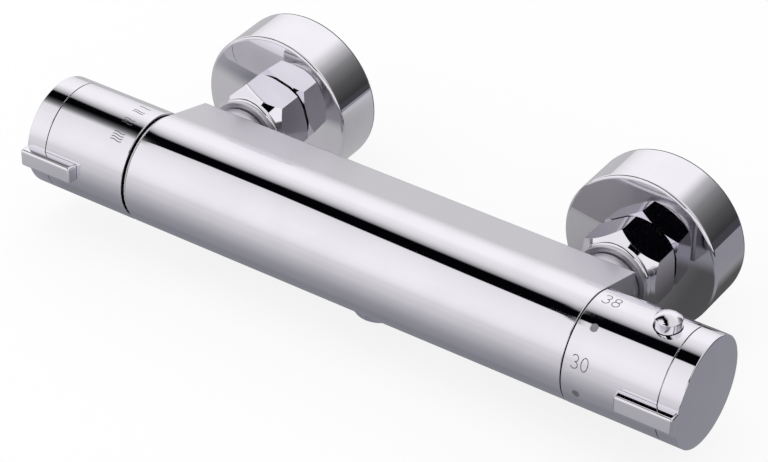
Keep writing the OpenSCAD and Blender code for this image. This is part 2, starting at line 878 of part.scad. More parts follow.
module spindle(inner_x) {
    difference() {
        union() {
            rod_x(inner_x, inner_x + spindle_flange_t, spindle_flange_d);
            rod_x(inner_x, spline_x, spindle_d);
            rod_x(spline_x, spline_end, spline_d);
        }
        tube_x(clip_x, clip_x + clip_t + fit_gap, spindle_d + overrun, spindle_d - 2 * clip_depth);
        for (i = [0:spline_count - 1]) rotate([i * 360 / spline_count, 0, 0])
            translate([0, spline_d / 2, 0]) rod_x(spline_x, spline_end + overrun, 2 * spline_depth);
        rod_x(spline_end - screw_l, spline_end + overrun, screw_d + 2 * fit_gap);
    }
}

module clip() {
    difference() {
        rod_x(clip_x, clip_x + clip_t, clip_d);
        rod_x(clip_x - overrun, clip_x + clip_t + overrun, spindle_d - 2 * clip_depth + 2 * fit_gap);
        box([clip_x - overrun, clip_x + clip_t + overrun], [-spindle_d / 3, spindle_d / 3],
            [-clip_d, 0]);
    }
}

module insert() {
    // six holes lighten the disc, inside the ring that the stop foot stands on
    hole_ring = (insert_boss_d + lug_d) / 4;
    difference() {
        union() {
            rod_x(insert_x, insert_x + insert_t, handle_bore - 2 * fit_gap);
            rod_x(insert_x, boss_end, insert_boss_d);
        }
        rod_x(insert_x - overrun, boss_end + overrun, spline_d + 2 * fit_gap);
        for (a = [30:60:330]) rotate([a, 0, 0]) translate([0, hole_ring, 0])
            rod_x(insert_x - overrun, insert_x + insert_t + overrun, (lug_d - insert_boss_d) / 4);
    }
}

module end_screw() {
    head = spline_end + fit_gap;
    difference() {
        union() {
            rod_x(head - screw_share * screw_l, head, screw_d);
            rod_x(head, head + screw_head_t, screw_head_d + 2 * spline_depth);
        }
        translate([head + screw_head_t / 3, 0, 0]) rotate([0, 90, 0])
            cylinder(h = screw_head_t, d = screw_socket / cos(30), $fn = 6);
    }
}

// a stop ring with its lug next to the piece that rests on it
module stop_ring(lug_start) {
    tube_x(stop_x, stop_x + stop_t, stop_d, collar_d + 2 * fit_gap);
    translate([stop_x, 0, 0]) rotate([90, 0, 90]) rotate([0, 0, lug_start])
        linear_extrude(stop_t + lug_l) sector(stop_d - lug_gap, lug_d, lug_angle);
}

module handle_shell(start) {
    difference() {
        eased_rod_x(start, cap_x, handle_d, handle_edge);
        rod_x(start - overrun, cap_x + overrun, handle_bore);
        tube_x(cap_x - cap_groove, cap_x + overrun, handle_d + overrun, handle_d - 2 * cap_groove_depth);
    }
}

module cap(lever_z) {
    tab_in = end_reach - lever_l;
    difference() {
        union() {
            eased_rod_x(cap_x, end_reach, handle_d, handle_edge);
            rod_x(cap_x - plug_l, cap_x, handle_bore - 2 * fit_gap);
            // the lever, with a slanted inner end and its outer front corner rounded
            translate([0, 0, lever_z - lever_h / 2]) linear_extrude(lever_h) {
                polygon([
                    [tab_in + lever_slant, -lever_reach], [end_reach - lever_round, -lever_reach],
                    [end_reach - lever_round, 0], [tab_in, 0], [tab_in, -handle_d / 2]
                ]);
                translate([cap_x, -lever_reach + lever_round])
                    square([cap_l, lever_reach - lever_round]);
                translate([end_reach - lever_round, -lever_reach + lever_round])
                    circle(r = lever_round);
            }
        }
        // the lever lies outside the handle, up to the cap
        difference() {
            rod_x(tab_in - overrun, cap_x, handle_d + 2 * lever_gap);
            rod_x(cap_x - plug_l, cap_x, handle_bore - 2 * fit_gap);
        }
        rod_x(cap_x - plug_l - overrun, end_reach - cap_t, handle_bore - 2 * cap_t);
    }
}

// Temperature side
module cartridge_nut() {
    color(brass) on_wall()
        head_nut(mouth_floor + spindle_flange_t + turn_gap, spindle_flange_d + 4 * turn_gap);
}

module temperature_stop_ring() {
    // the button's latch arm rests behind the lug at 38 degrees
    arm_edge = asin((arm_w / 2 + lug_gap) / (lug_d / 2));
    color(plastic) on_wall() stop_ring(90 + arm_edge);
}

module temperature_spindle() {
    color(brass) on_wall() difference() {
        spindle(mouth_floor);
        rod_x(mouth_floor - overrun, piston_end + cup_l + stem_l + stem_d / 4, stem_d);
    }
}

module temperature_clip() {
    color(steel) on_wall() clip();
}

module temperature_insert() {
    shelf_end = button_x + button_flange_d / 2;
    slot = arm_w / 2 + 4 * lug_gap;
    slot_z = button_seat - button_flange_t - button_travel - 4 * lug_gap;
    color(plastic) on_wall() difference() {
        union() {
            insert();
            box([insert_x, shelf_end], [-shelf_w / 2, shelf_w / 2], [shelf_z - shelf_t, shelf_z]);
        }
        box([insert_x - overrun, insert_x + insert_t + overrun], [-slot, slot],
            [slot_z, handle_bore]);
        // room for the button and its spring, above the shelf
        translate([button_x, 0, shelf_z])
            cylinder(h = handle_bore, d = button_flange_d + 8 * lug_gap);
    }
}

module temperature_screw() {
    color(steel) on_wall() end_screw();
}

module temperature_handle() {
    color(chrome) on_wall() difference() {
        handle_shell(temperature_start);
        translate([button_x, 0, 0]) cylinder(h = handle_d, d = button_d + 2 * turn_gap);
    }
}

module temperature_cap() {
    notch = button_flange_d / 2 + 4 * lug_gap;
    color(chrome) on_wall() difference() {
        cap(temperature_lever_z);
        box([cap_x - plug_l - overrun, cap_x - plug_l + button_flange_d / 2], [-notch, notch],
            [shelf_z, handle_bore / 2]);
    }
}

module safety_button() {
    flange_z = button_seat - button_flange_t;
    dome_r = (pow(button_d / 2, 2) + pow(button_dome, 2)) / (2 * button_dome);
    color(chrome) on_wall() {
        intersection() {
            translate([button_x, 0, flange_z]) cylinder(h = button_top - flange_z, d = button_d);
            translate([button_x, 0, button_top - dome_r]) sphere(r = dome_r);
        }
        translate([button_x, 0, flange_z]) cylinder(h = button_flange_t, d = button_flange_d);
        box([arm_x, button_x], [-arm_w / 2, arm_w / 2], [flange_z, button_seat]);
    }
}

module button_spring() {
    color(steel) on_wall() translate([button_x, 0, shelf_z])
        coil(button_seat - button_flange_t - shelf_z, button_coil, small_wire, 3);
}

// Flow side
module headwork_housing() {
    outer = headwork_d - 2 * fit_gap;
    color(brass) on_left() difference() {
        rod_x(headwork_floor, mouth_floor, outer);
        rod_x(headwork_floor - overrun, mouth_floor + overrun, outer - 2 * housing_t);
        for (a = [0:60:300]) rotate([a, 0, 0]) translate([window_x, 0, 0])
            rod_y(hole_start_share * outer / 2, outer, side_window);
        translate([window_x - side_window / 2 - window_land / 2, 0, 0])
            tube_x(0, side_window + window_land, outer + overrun, outer - groove_depth);
        translate([mouth_floor - (ring_share + 0.5) * oring_d - fit_gap, 0, 0])
            tube_x(0, oring_d + 2 * fit_gap, outer + overrun, headwork_d - 2 * oring_d);
    }
}

module headwork_oring() {
    color(rubber) on_left() o_ring(mouth_floor - ring_share * oring_d, headwork_d);
}

module headwork_nut() {
    color(brass) on_left()
        head_nut(mouth_floor + spindle_flange_t + turn_gap, spindle_flange_d + 4 * turn_gap);
}

// both discs have two opposite windows of a quarter turn
module disc(start, turn) {
    translate([start, 0, 0]) rotate([90, 0, 90]) linear_extrude(disc_t) difference() {
        circle(d = disc_d);
        for (a = [0, 180]) rotate([0, 0, turn + a]) sector(window_d, core_d, window_angle);
    }
}

module disc_seal() {
    color(rubber) on_left() tube_x(headwork_floor, fixed_x, disc_d, window_d);
}

module fixed_disc() {
    color(ceramic) on_left() disc(fixed_x, 0);
}

module moving_disc() {
    color(ceramic) on_left() disc(moving_x, 90);
}

module flow_spindle() {
    // a fork at the inner end turns the moving disc
    color(brass) on_left() {
        spindle(mouth_floor);
        difference() {
            rod_x(disc_end, mouth_floor, spindle_d);
            rod_x(disc_end - overrun, mouth_floor - disc_t, core_d + spline_depth);
            box([disc_end - overrun, window_x + side_window / 2], [-spindle_d / 4, spindle_d / 4],
                [-spindle_d, spindle_d]);
        }
    }
}

module flow_clip() {
    color(steel) on_left() clip();
}

module flow_insert() {
    // a foot on the disc rests on the stop ring's lug when the flow is shut
    color(plastic) on_left() {
        insert();
        translate([arm_x, 0, 0]) rotate([90, 0, 90]) rotate([0, 0, 90 - lug_angle])
            linear_extrude(insert_x - arm_x) sector(stop_d - 2 * lug_gap, lug_d, lug_angle);
    }
}

module flow_screw() {
    color(steel) on_left() end_screw();
}

module flow_stop_ring() {
    color(plastic) on_left() stop_ring(90 + asin(lug_gap / (lug_d / 2)));
}

module flow_trim_ring() {
    color(plastic) on_left() tube_x(bar_end, bar_end + trim_w, handle_d - 2 * trim_depth,
                                    head_flats / cos(30) + 4 * lug_gap);
}

module flow_handle() {
    color(chrome) on_left() handle_shell(flow_start);
}

module flow_cap() {
    color(chrome) on_left() cap(flow_lever_z);
}

valve_body();
outlet_nipple();
hot_inlet_nipple();
cold_inlet_nipple();
hot_union_nut();
cold_union_nut();
hot_filter_washer();
cold_filter_washer();
hot_wall_union();
cold_wall_union();
hot_escutcheon();
cold_escutcheon();
hot_wall_seal();
cold_wall_seal();
hot_check_cage();
cold_check_cage();
hot_check_poppet();
cold_check_poppet();
hot_check_spring();
cold_check_spring();
cartridge_sleeve();
cartridge_oring_inner();
cartridge_oring_middle();
cartridge_oring_outer();
cartridge_nut();
temperature_stop_ring();
thermo_element();
mixing_shuttle();
return_spring();
regulating_nut();
temperature_spindle();
temperature_clip();
temperature_insert();
temperature_screw();
temperature_handle();
temperature_cap();
safety_button();
button_spring();
headwork_housing();
headwork_oring();
headwork_nut();
disc_seal();
fixed_disc();
moving_disc();
flow_spindle();
flow_clip();
flow_insert();
flow_screw();
flow_stop_ring();
flow_trim_ring();
flow_handle();
flow_cap();
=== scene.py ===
# Thermostatic shower valve: chrome pieces, marks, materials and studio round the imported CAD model.
# Lengths are in metres in the model's frame: X along the bar, Y into the wall, Z up.
import json
import math
import bmesh
import bpy
from mathutils import Matrix, Vector


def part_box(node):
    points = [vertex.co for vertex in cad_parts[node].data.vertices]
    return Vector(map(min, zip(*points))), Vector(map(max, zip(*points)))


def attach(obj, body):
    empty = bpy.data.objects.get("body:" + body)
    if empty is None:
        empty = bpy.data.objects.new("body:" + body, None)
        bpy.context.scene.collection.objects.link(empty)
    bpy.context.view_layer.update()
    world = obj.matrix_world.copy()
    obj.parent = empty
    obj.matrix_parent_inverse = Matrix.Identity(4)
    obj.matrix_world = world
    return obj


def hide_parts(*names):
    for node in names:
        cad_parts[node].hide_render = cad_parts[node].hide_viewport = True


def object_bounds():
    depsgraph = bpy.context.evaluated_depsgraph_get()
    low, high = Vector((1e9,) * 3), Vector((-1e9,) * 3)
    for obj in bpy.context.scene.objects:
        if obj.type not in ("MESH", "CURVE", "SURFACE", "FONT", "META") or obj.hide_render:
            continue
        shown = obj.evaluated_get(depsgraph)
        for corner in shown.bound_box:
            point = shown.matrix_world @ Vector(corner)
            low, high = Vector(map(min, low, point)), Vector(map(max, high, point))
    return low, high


MM = 0.001
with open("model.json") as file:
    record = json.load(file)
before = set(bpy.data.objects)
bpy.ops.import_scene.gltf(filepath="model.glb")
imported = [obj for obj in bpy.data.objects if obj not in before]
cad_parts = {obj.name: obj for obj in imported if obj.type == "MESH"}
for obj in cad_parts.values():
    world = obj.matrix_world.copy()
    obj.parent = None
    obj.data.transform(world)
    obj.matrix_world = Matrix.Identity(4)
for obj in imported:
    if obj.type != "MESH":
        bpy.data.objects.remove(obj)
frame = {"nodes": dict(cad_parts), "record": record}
cad_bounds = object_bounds()


def low(node):
    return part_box(node)[0]


def high(node):
    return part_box(node)[1]


# Places and sizes measured on the CAD pieces
HANDLE_R = (high("temperature_handle").z - low("temperature_handle").z) / 2
AXIS_Z = low("temperature_handle").z + HANDLE_R
AXIS_Y = low("temperature_handle").y + HANDLE_R
BAR_END = -high("flow_trim_ring").x
BAR_R = AXIS_Y - low("valve_body").y
END_X = high("temperature_cap").x
CAP_X = high("temperature_handle").x
TRIM_END = -low("flow_trim_ring").x
TRIM_R = high("flow_trim_ring").z - AXIS_Z
TEMPERATURE_START = low("temperature_handle").x
FLOW_START = -high("flow_handle").x
INLET_X = (low("cold_union_nut").x + high("cold_union_nut").x) / 2
NUT_FRONT = low("cold_union_nut").y
NUT_REAR = high("cold_union_nut").y
BOSS_END = high("valve_body").y
COVER_R = (high("cold_escutcheon").x - low("cold_escutcheon").x) / 2
COVER_Y = low("cold_escutcheon").y
UNION_FRONT = low("cold_wall_union").y
THREAD_END = high("cold_wall_union").y
OUTLET_Y = (low("outlet_nipple").y + high("outlet_nipple").y) / 2
OUTLET_R = (high("outlet_nipple").x - low("outlet_nipple").x) / 2
OUTLET_Z = low("outlet_nipple").z
OUTLET_TOP = high("outlet_nipple").z
LEVER_FRONT = low("temperature_cap").y
LEVER_IN = low("temperature_cap").x
BUTTON_TOP = high("safety_button").z
ARM_X = low("safety_button").x
BUTTON_LOW = low("safety_button").z
FLOOR_Z = cad_bounds[0].z - 0.2 * MM

# Sizes that a box can't give, as the CAD source has them
BLOCK_DEPTH = 28.1 * MM
BLOCK_HEIGHT = 24.9 * MM
BLOCK_CORNER = 1.5 * MM
MOUTH_R = 15 * MM
MOUTH_DEPTH = 14 * MM
CARTRIDGE_R = 13.5 * MM
CARTRIDGE_DEPTH = 52 * MM
HEADWORK_R = 12 * MM
HEADWORK_DEPTH = 34 * MM
BOSS_R = 13 * MM
BOSS_ROOT = 21 * MM
NIPPLE_R = 9.5 * MM
NIPPLE_DEPTH = 14 * MM
PAD_R = 12.2 * MM
PAD_DROP = 20.6 * MM
OUTLET_BORE = 6.5 * MM
OUTLET_SHANK = 9 * MM
OUTLET_SEAT = 5 * MM
NUT_FLATS = 28.5 * MM
NUT_FRONT_R = 13.35 * MM
NUT_CONE = 5.2 * MM
NUT_WEB = 2.8 * MM
HOT_NUT_TURN = math.radians(14)
COLD_NUT_TURN = math.radians(26.7)
COVER_ROUND = 1.2 * MM
COVER_WALL = 1.6 * MM
HUB_R = 15.5 * MM
HUB_L = 4.6 * MM
SEAL_W = 3.5 * MM
SEAL_T = 1.5 * MM
UNION_R = 13.1 * MM
UNION_BORE = 7.5 * MM
UNION_BARREL = 18 * MM
UNION_WEB = 4 * MM
UNION_SKIN = 1 * MM
UNION_OFFSET = 7 * MM
WALL_NECK_R = 10 * MM
WALL_THREAD_R = 10.48 * MM
HANDLE_BORE = 16.4 * MM
CAP_GROOVE = 0.3 * MM
CAP_WALL = 1.6 * MM
PLUG_L = 5 * MM
LEVER_H = 6.5 * MM
LEVER_SLANT = 1 * MM
LEVER_ROUND = 1 * MM
FLOW_LEVER_Z = 0.7 * MM
TEMPERATURE_LEVER_Z = 0.9 * MM
BUTTON_R = 4.6 * MM
BUTTON_INSET = 16 * MM
BUTTON_FLANGE_R = 5.7 * MM
BUTTON_FLANGE_T = 1.9 * MM
ARM_W = 6 * MM
SHELF_Z = 8.4 * MM
FIT = 0.05 * MM
BUTTON_X = END_X - BUTTON_INSET

# Sizes that only the dressed model has
BAR_EASE = 0.28 * MM
BOSS_NECK_R = 11 * MM
BOSS_COLLAR = 1.6 * MM
BOSS_GROOVE = 0.6 * MM
BOSS_GROOVE_DEPTH = 0.9 * MM
BOSS_ROUND = 0.25 * MM
PAD_L = 8 * MM
OUTLET_PASSAGE = 10 * MM
OUTLET_ROUND = 0.4 * MM
TRIM_LEDGE = 1 * MM
TRIM_BEAD_H = 1.1 * MM
TRIM_BEAD_ROUND = 0.18 * MM
TRIM_GAP_SHARE = 0.3
NUT_COLLAR = 1.75 * MM
NUT_RIM_ROUND = 1.4 * MM
NUT_REAR_TURN = 2 * MM
NUT_REAR_R = 14.53 * MM
NUT_EASE = 0.45 * MM
COVER_CROWN = 1.2 * MM
COVER_FILLET = 0.8 * MM
HUB_FILLET = 0.4 * MM
SEAL_LIP = 0.4 * MM
SEAL_INSET = 0.1 * MM
# The thread of a half-inch pipe, its crest and foot in shares of the pitch, and where it starts
# from the free end and stops before the inner end
THREAD_PITCH = 1.814 * MM
THREAD_DEPTH = THREAD_PITCH * 0.64
THREAD_ROOT = 0.1 * MM
THREAD_CREST = (0.42, 0.54)
THREAD_FOOT = 0.96
THREAD_LEAD = 0.3 * MM
THREAD_STOP = 0.2 * MM
OUTLET_STOP = 0.6 * MM
# Handles, their caps and the button
HANDLE_EASE = 0.35 * MM
CAP_GROOVE_DEPTH = 1.6 * MM
CAP_EASE = 0.5 * MM
LEVER_EASE = 0.95 * MM
LEVER_GAP = 0.13 * MM
LEVER_BACK = 12 * MM
LEVER_ROOT = 2 * MM
NOTCH_ROOM = 0.6 * MM
BUTTON_GAP = 0.3 * MM
BUTTON_DOME = 1.9 * MM
BUTTON_EASE = 0.45 * MM
BUTTON_RIM = 0.1 * MM
BUTTON_CROWN_SHARE = 0.93
# Small rounds on the edges of several pieces
FINE_ROUND = 0.12 * MM
SMALL_ROUND = 0.2 * MM
SOFT_ROUND = 0.3 * MM
# How far a cutting tool runs past the face that it cuts
PAST = 1 * MM
# Angles from which shading breaks, an edge is a corner, and the nuts' edges are eased
SHARP_ANGLE = math.radians(32)
CORNER_ANGLE = math.radians(50)
NUT_EASE_ANGLE = math.radians(14)
# A face of at least this width is shaded flat
WIDE_FACE = 0.6 * MM
# How near a face lies to a true cylinder that takes its shading, in tilt and in distance
CYLINDER_TILT = 0.01
CYLINDER_MISS = 0.01 * MM


def at(x, y=0.0, z=0.0):
    """A point given from the middle of the bar's axis."""
    return Vector((x, AXIS_Y + y, AXIS_Z + z))


# Camera and studio
def make_camera():
    """The photograph's view, from the front right and above, level."""
    place = Vector((0.450595, -0.752958, 0.602365))
    right = Vector((0.83080275, 0.5563155, 0.01672865))
    down = Vector((0.33589267, -0.47720362, -0.81206701))
    ahead = Vector((-0.44378249, 0.68028654, -0.58332438))
    data = bpy.data.cameras.new("camera")
    data.lens = 141.23
    data.sensor_width = 36
    camera = bpy.data.objects.new("camera", data)
    bpy.context.scene.collection.objects.link(camera)
    turn = Matrix((right, -down, -ahead)).transposed()
    camera.matrix_world = Matrix.Translation(place) @ turn.to_4x4()
    bpy.context.scene.camera = camera


class Shading:
    """Adds shader nodes to one tree and links them."""

    def __init__(self, tree):
        self.tree = tree
        tree.nodes.clear()

    def add(self, kind, **settings):
        node = self.tree.nodes.new(kind)
        for key, value in settings.items():
            setattr(node, key, value)
        return node

    def feed(self, socket, value):
        if isinstance(value, bpy.types.NodeSocket):
            self.tree.links.new(value, socket)
        elif isinstance(value, tuple) and len(value) < len(socket.default_value):
            socket.default_value = (*value, 1)
        else:
            socket.default_value = value

    def calc(self, operation, *values):
        node = self.add("ShaderNodeMath", operation=operation)
        for socket, value in zip(node.inputs, values):
            self.feed(socket, value)
        return node.outputs[0]

    def step(self, value, start, end, low_value=0.0, high_value=1.0, kind="SMOOTHSTEP"):
        """A soft step, or a straight one, from one value to another."""
        node = self.add("ShaderNodeMapRange", interpolation_type=kind)
        for socket, number in zip(node.inputs[:5], (value, start, end, low_value, high_value)):
            self.feed(socket, number)
        return node.outputs[0]

    def ramp(self, value, stops, span=None):
        """A tone or colour that runs straight between stops given as (place, tone). Its table lies
        over the span, or from the first stop to the last."""
        start, end = span or (stops[0][0], stops[-1][0])
        node = self.add("ShaderNodeValToRGB")
        self.feed(node.inputs[0], self.step(value, start, end, kind="LINEAR"))
        elements = node.color_ramp.elements
        while len(elements) < len(stops):
            elements.new(1.0)
        for element, (place, tone) in zip(elements, stops):
            element.position = (place - start) / (end - start)
            element.color = (*tone, 1) if isinstance(tone, tuple) else (tone, tone, tone, 1)
        return node.outputs[0]

    def mix(self, factor, a, b):
        node = self.add("ShaderNodeMix", data_type="RGBA")
        for socket, value in ((node.inputs[0], factor), (node.inputs[6], a), (node.inputs[7], b)):
            self.feed(socket, value)
        return node.outputs[2]


# How chrome sees the studio: 0 degrees is level behind the bar, 90 overhead, 180 level in front
SKY = [(0, 0.78), (10, 0.88), (20, 0.96), (32, 1.0), (45, 1.0), (55, 0.89), (64, 0.81), (90, 0.77),
       (98, 0.76), (110, 0.86), (125, 0.91), (145, 0.95), (160, 0.935), (170, 0.88), (176, 0.79),
       (180, 0.73)]
# Edges of the black gap between the soft boxes, as shares of a half turn, from left to right:
# as the bar and the left handle mirror them, then as the right handle and the nuts do
GAP_START = [(-0.546, 0.379), (-0.531, 0.397), (-0.5185, 0.400), (-0.515, 0.423), (-0.499, 0.4305),
             (-0.465, 0.431), (-0.441, 0.4465), (-0.416, 0.459), (-0.384, 0.470), (-0.3795, 0.492)]
GAP_END = [(-0.547, 0.5275), (-0.5215, 0.5325), (-0.5185, 0.552), (-0.5145, 0.5395), (-0.499, 0.533),
           (-0.477, 0.537), (-0.441, 0.562), (-0.4165, 0.5765), (-0.384, 0.588), (-0.381, 0.612),
           (-0.3796, 0.620)]
LEFT_SPAN = (-0.56, -0.379)
RIGHT_START = [(-0.38, 0.4435), (-0.341, 0.4455), (-0.32, 0.49), (-0.12, 0.51), (0.0, 0.57), (0.42, 0.70)]
RIGHT_END = [(-0.38, 0.5625), (-0.341, 0.5665), (-0.32, 0.62), (-0.12, 0.64), (0.0, 0.70), (0.2, 0.85),
             (0.3, 0.85), (0.42, 0.74)]
RIGHT_HANDLE = -0.3789
GAP_TONE = (0.001, 0.001, 0.002)
HALF_TURN = 180.0
# How the light fades into the gap and returns from it, in degrees before and after the edge
FADE_IN = [(-18, 1.0), (-12, 0.88), (-9.9, 0.81), (-5, 0.57), (-2.5, 0.42), (-1.2, 0.30), (0, 0.13),
           (0.8, 0.03), (1.6, 0.0)]
RETURN_SHARP = [(-12, 0.0), (-0.6, 0.0), (0, 0.3), (0.6, 1.0)]
RETURN_SOFT = [(-12, 0.0), (-10, 0.008), (-6, 0.06), (-3, 0.15), (0, 0.26), (2, 0.42), (4, 0.6),
               (6.7, 0.82), (8, 1.0)]
RETURN_SPAN = (-12, 8)
# Where the bar's sharp return turns into the left handle's soft one
LEFT_HANDLE = (-0.516, -0.519)
# The dark panel low behind on the right, by height: nearly black at the floor, gone near 50 degrees
PANEL = [(-0.2, 0.05), (0.03, 0.055), (0.27, 0.095), (0.42, 0.17), (0.5, 0.24), (0.6, 0.48), (0.7, 0.9),
         (0.75, 1.0)]
PANEL_SIDE = (0.1, 0.3)
PANEL_BEHIND = (-0.15, 0.1)
# What lies below the horizon on the left and in the middle
HORIZON = (-0.02, 0.02)
BELOW_SIDE = (0.4, 0.2)
BELOW_TONE = (0.70, 0.70, 0.71)
STUDIO_STRENGTH = 1.03


def make_world():
    """Two large soft boxes overhead with a black gap between them, and a dark panel low behind on
    the right, as chrome mirrors them. What sees the world directly gets a white backdrop."""
    world = bpy.data.worlds.new("studio")
    bpy.context.scene.world = world
    world.use_nodes = True
    n = Shading(world.node_tree)
    way = n.add("ShaderNodeSeparateXYZ")
    n.feed(way.inputs[0], n.add("ShaderNodeTexCoord").outputs["Generated"])
    x, y, z = way.outputs
    around = n.calc("DEGREES", n.calc("ARCTAN2", z, y))
    sky = n.ramp(around, SKY)
    on_right = n.calc("GREATER_THAN", x, RIGHT_HANDLE)
    start = n.mix(on_right, n.ramp(x, GAP_START, LEFT_SPAN), n.ramp(x, RIGHT_START))
    end = n.mix(on_right, n.ramp(x, GAP_END, LEFT_SPAN), n.ramp(x, RIGHT_END))
    past_start = n.calc("SUBTRACT", around, n.calc("MULTIPLY", start, HALF_TURN))
    past_end = n.calc("SUBTRACT", around, n.calc("MULTIPLY", end, HALF_TURN))
    fading = n.ramp(past_start, FADE_IN)
    sharp = n.ramp(past_end, RETURN_SHARP, RETURN_SPAN)
    soft = n.ramp(past_end, RETURN_SOFT)
    returning = n.mix(n.step(x, *LEFT_HANDLE), sharp, soft)
    lit = n.calc("MAXIMUM", fading, returning)
    tone = n.mix(lit, GAP_TONE, sky)
    shaded = n.mix(1.0, tone, n.ramp(z, PANEL))
    shaded.node.blend_type = "MULTIPLY"
    behind = n.step(y, *PANEL_BEHIND)
    tone = n.mix(n.calc("MULTIPLY", n.step(x, *PANEL_SIDE), behind), tone, shaded)
    below = n.calc("MULTIPLY", n.step(z, *HORIZON, 1.0, 0.0), n.step(x, *BELOW_SIDE))
    tone = n.mix(below, tone, BELOW_TONE)
    studio = n.add("ShaderNodeBackground")
    studio.inputs[1].default_value = STUDIO_STRENGTH
    n.feed(studio.inputs[0], tone)
    white = n.add("ShaderNodeBackground")
    white.inputs[0].default_value = (1, 1, 1, 1)
    choose = n.add("ShaderNodeMixShader")
    n.feed(choose.inputs[0], n.add("ShaderNodeLightPath").outputs["Is Camera Ray"])
    n.feed(choose.inputs[1], studio.outputs[0])
    n.feed(choose.inputs[2], white.outputs[0])
    n.feed(n.add("ShaderNodeOutputWorld").inputs[0], choose.outputs[0])


# Painted shade on the floor that only chrome sees, by distance from the bar: dark near it, then the pale
# floor
FLOOR_PAINTED_SHADE = [(0.0, (0.232, 0.236, 0.262)), (0.004, (0.268, 0.272, 0.300)),
               (0.015, (0.308, 0.311, 0.336)), (0.024, (0.365, 0.367, 0.388)),
               (0.035, (0.437, 0.438, 0.455)), (0.057, (0.524, 0.524, 0.536)),
               (0.09, (0.628, 0.628, 0.636)), (0.2, (0.686, 0.686, 0.690)),
               (0.4, (0.741, 0.741, 0.741))]
# The same painted shade between the bar and the wall, from left to right: darkest beside the right cover
REAR_PAINTED_SHADE = [(-0.14, 0.52), (-0.05, 0.47), (0.03, 0.38), (0.06, 0.2), (0.085, 0.08), (0.11, 0.09),
              (0.125, 0.29), (0.2, 0.29)]
# Where the floor turns from one tone to the next: behind the bar, at the wall, and on the right
REAR_FLOOR = (-0.075, -0.062)
WALL_FLOOR = (0.02, 0.12)
# Painted shade tones: by the wall, on the right near the object, and darkest far out on the right
WALL_PAINTED_SHADE = (0.55, 0.55, 0.56)
RIGHT_FLOOR = (0.115, 0.14)
RIGHT_PAINTED_SHADE = (0.28, 0.283, 0.312)
FAR_RIGHT = (0.29, 0.3)
FAR_RIGHT_PAINTED_SHADE = (0.06, 0.06, 0.07)
FLOOR_SIZE = 2.2
FLOOR_GREY = (0.22, 0.22, 0.225, 1)
FLOOR_LIFT = 0.82


def make_floor():
    """A pale floor: white to the camera, with the object's soft shadow. To what mirrors it, it glows
    with painted shade near the object."""
    bm = bmesh.new()
    bmesh.ops.create_grid(bm, x_segments=1, y_segments=1, size=FLOOR_SIZE)
    bmesh.ops.translate(bm, vec=(0, 0, FLOOR_Z), verts=bm.verts)
    floor = as_object("floor", bm)
    material = bpy.data.materials.new("floor")
    material.use_nodes = True
    n = Shading(material.node_tree)
    place = n.add("ShaderNodeSeparateXYZ")
    n.feed(place.inputs[0], n.add("ShaderNodeTexCoord").outputs["Object"])
    x, y, _ = place.outputs
    past_end = n.calc("MAXIMUM", n.calc("SUBTRACT", n.calc("ABSOLUTE", x), END_X), 0.0)
    from_axis = n.calc("ABSOLUTE", n.calc("SUBTRACT", y, AXIS_Y))
    aside = n.calc("MAXIMUM", n.calc("SUBTRACT", from_axis, BAR_R), 0.0)
    squares = [n.calc("MULTIPLY", length, length) for length in (past_end, aside)]
    away = n.calc("SQRT", n.calc("ADD", *squares))
    tone = n.ramp(away, FLOOR_PAINTED_SHADE)
    rear = n.mix(n.step(y, *WALL_FLOOR), n.ramp(x, REAR_PAINTED_SHADE), WALL_PAINTED_SHADE)
    tone = n.mix(n.step(y, *REAR_FLOOR), tone, rear)
    right_painted_shade = n.mix(n.step(away, *FAR_RIGHT), RIGHT_PAINTED_SHADE, FAR_RIGHT_PAINTED_SHADE)
    tone = n.mix(n.step(x, *RIGHT_FLOOR), tone, right_painted_shade)
    # What reflections see: a glowing floor with the object's shade painted into it
    painted_floor_shade = n.add("ShaderNodeEmission")
    n.feed(painted_floor_shade.inputs[0], tone)
    grey = n.add("ShaderNodeBsdfDiffuse")
    grey.inputs[0].default_value = FLOOR_GREY
    lift = n.add("ShaderNodeEmission")
    lift.inputs[0].default_value = (1, 1, 1, 1)
    lift.inputs[1].default_value = FLOOR_LIFT
    pale = n.add("ShaderNodeAddShader")
    n.feed(pale.inputs[0], grey.outputs[0])
    n.feed(pale.inputs[1], lift.outputs[0])
    path = n.add("ShaderNodeLightPath")
    seen = n.add("ShaderNodeMixShader")
    n.feed(seen.inputs[0], path.outputs["Is Glossy Ray"])
    n.feed(seen.inputs[1], grey.outputs[0])
    n.feed(seen.inputs[2], painted_floor_shade.outputs[0])
    choose = n.add("ShaderNodeMixShader")
    n.feed(choose.inputs[0], path.outputs["Is Camera Ray"])
    n.feed(choose.inputs[1], seen.outputs[0])
    n.feed(choose.inputs[2], pale.outputs[0])
    n.feed(n.add("ShaderNodeOutputMaterial").inputs[0], choose.outputs[0])
    floor.data.materials.append(material)


def make_lamp(name, place, size, power):
    """A soft lamp for the pieces that aren't metal, and for the shadow."""
    data = bpy.data.lights.new(name, "AREA")
    data.energy = power
    data.size = size
    lamp = bpy.data.objects.new(name, data)
    bpy.context.scene.collection.objects.link(lamp)
    lamp.location = place
    lamp.rotation_euler = (-Vector(place)).to_track_quat("-Z", "Y").to_euler()
    lamp.visible_glossy = False
    lamp.visible_camera = False


# Materials
GRAIN_RANGE = (0.3, 0.7)
BROAD_GRAIN = 14
BROAD_RANGE = (0.35, 0.65)
BROAD_TINT = 0.97
WORN_RADIUS = 0.3 * MM
WORN_RANGE = (0.995, 0.9)
BUMP_HEIGHT = 0.02 * MM
# Towards the wall from this depth: rougher, and its colour darker with painted shade
MATT_SHADE_BACK = 5.4 * MM
MATT_SHADE_FADE = (-1 * MM, 4 * MM)
SATIN_ROUGHNESS = 0.3
PAINTED_SHADE_TINT = 0.73
# Painted shade in the trim ring's gaps: black below the bead's top
BEAD_SHOWN = 0.14 * MM
GAP_SHADE_FADE = 0.1 * MM
PAINTED_GAP_SHADE = (0.004, 0.004, 0.005)


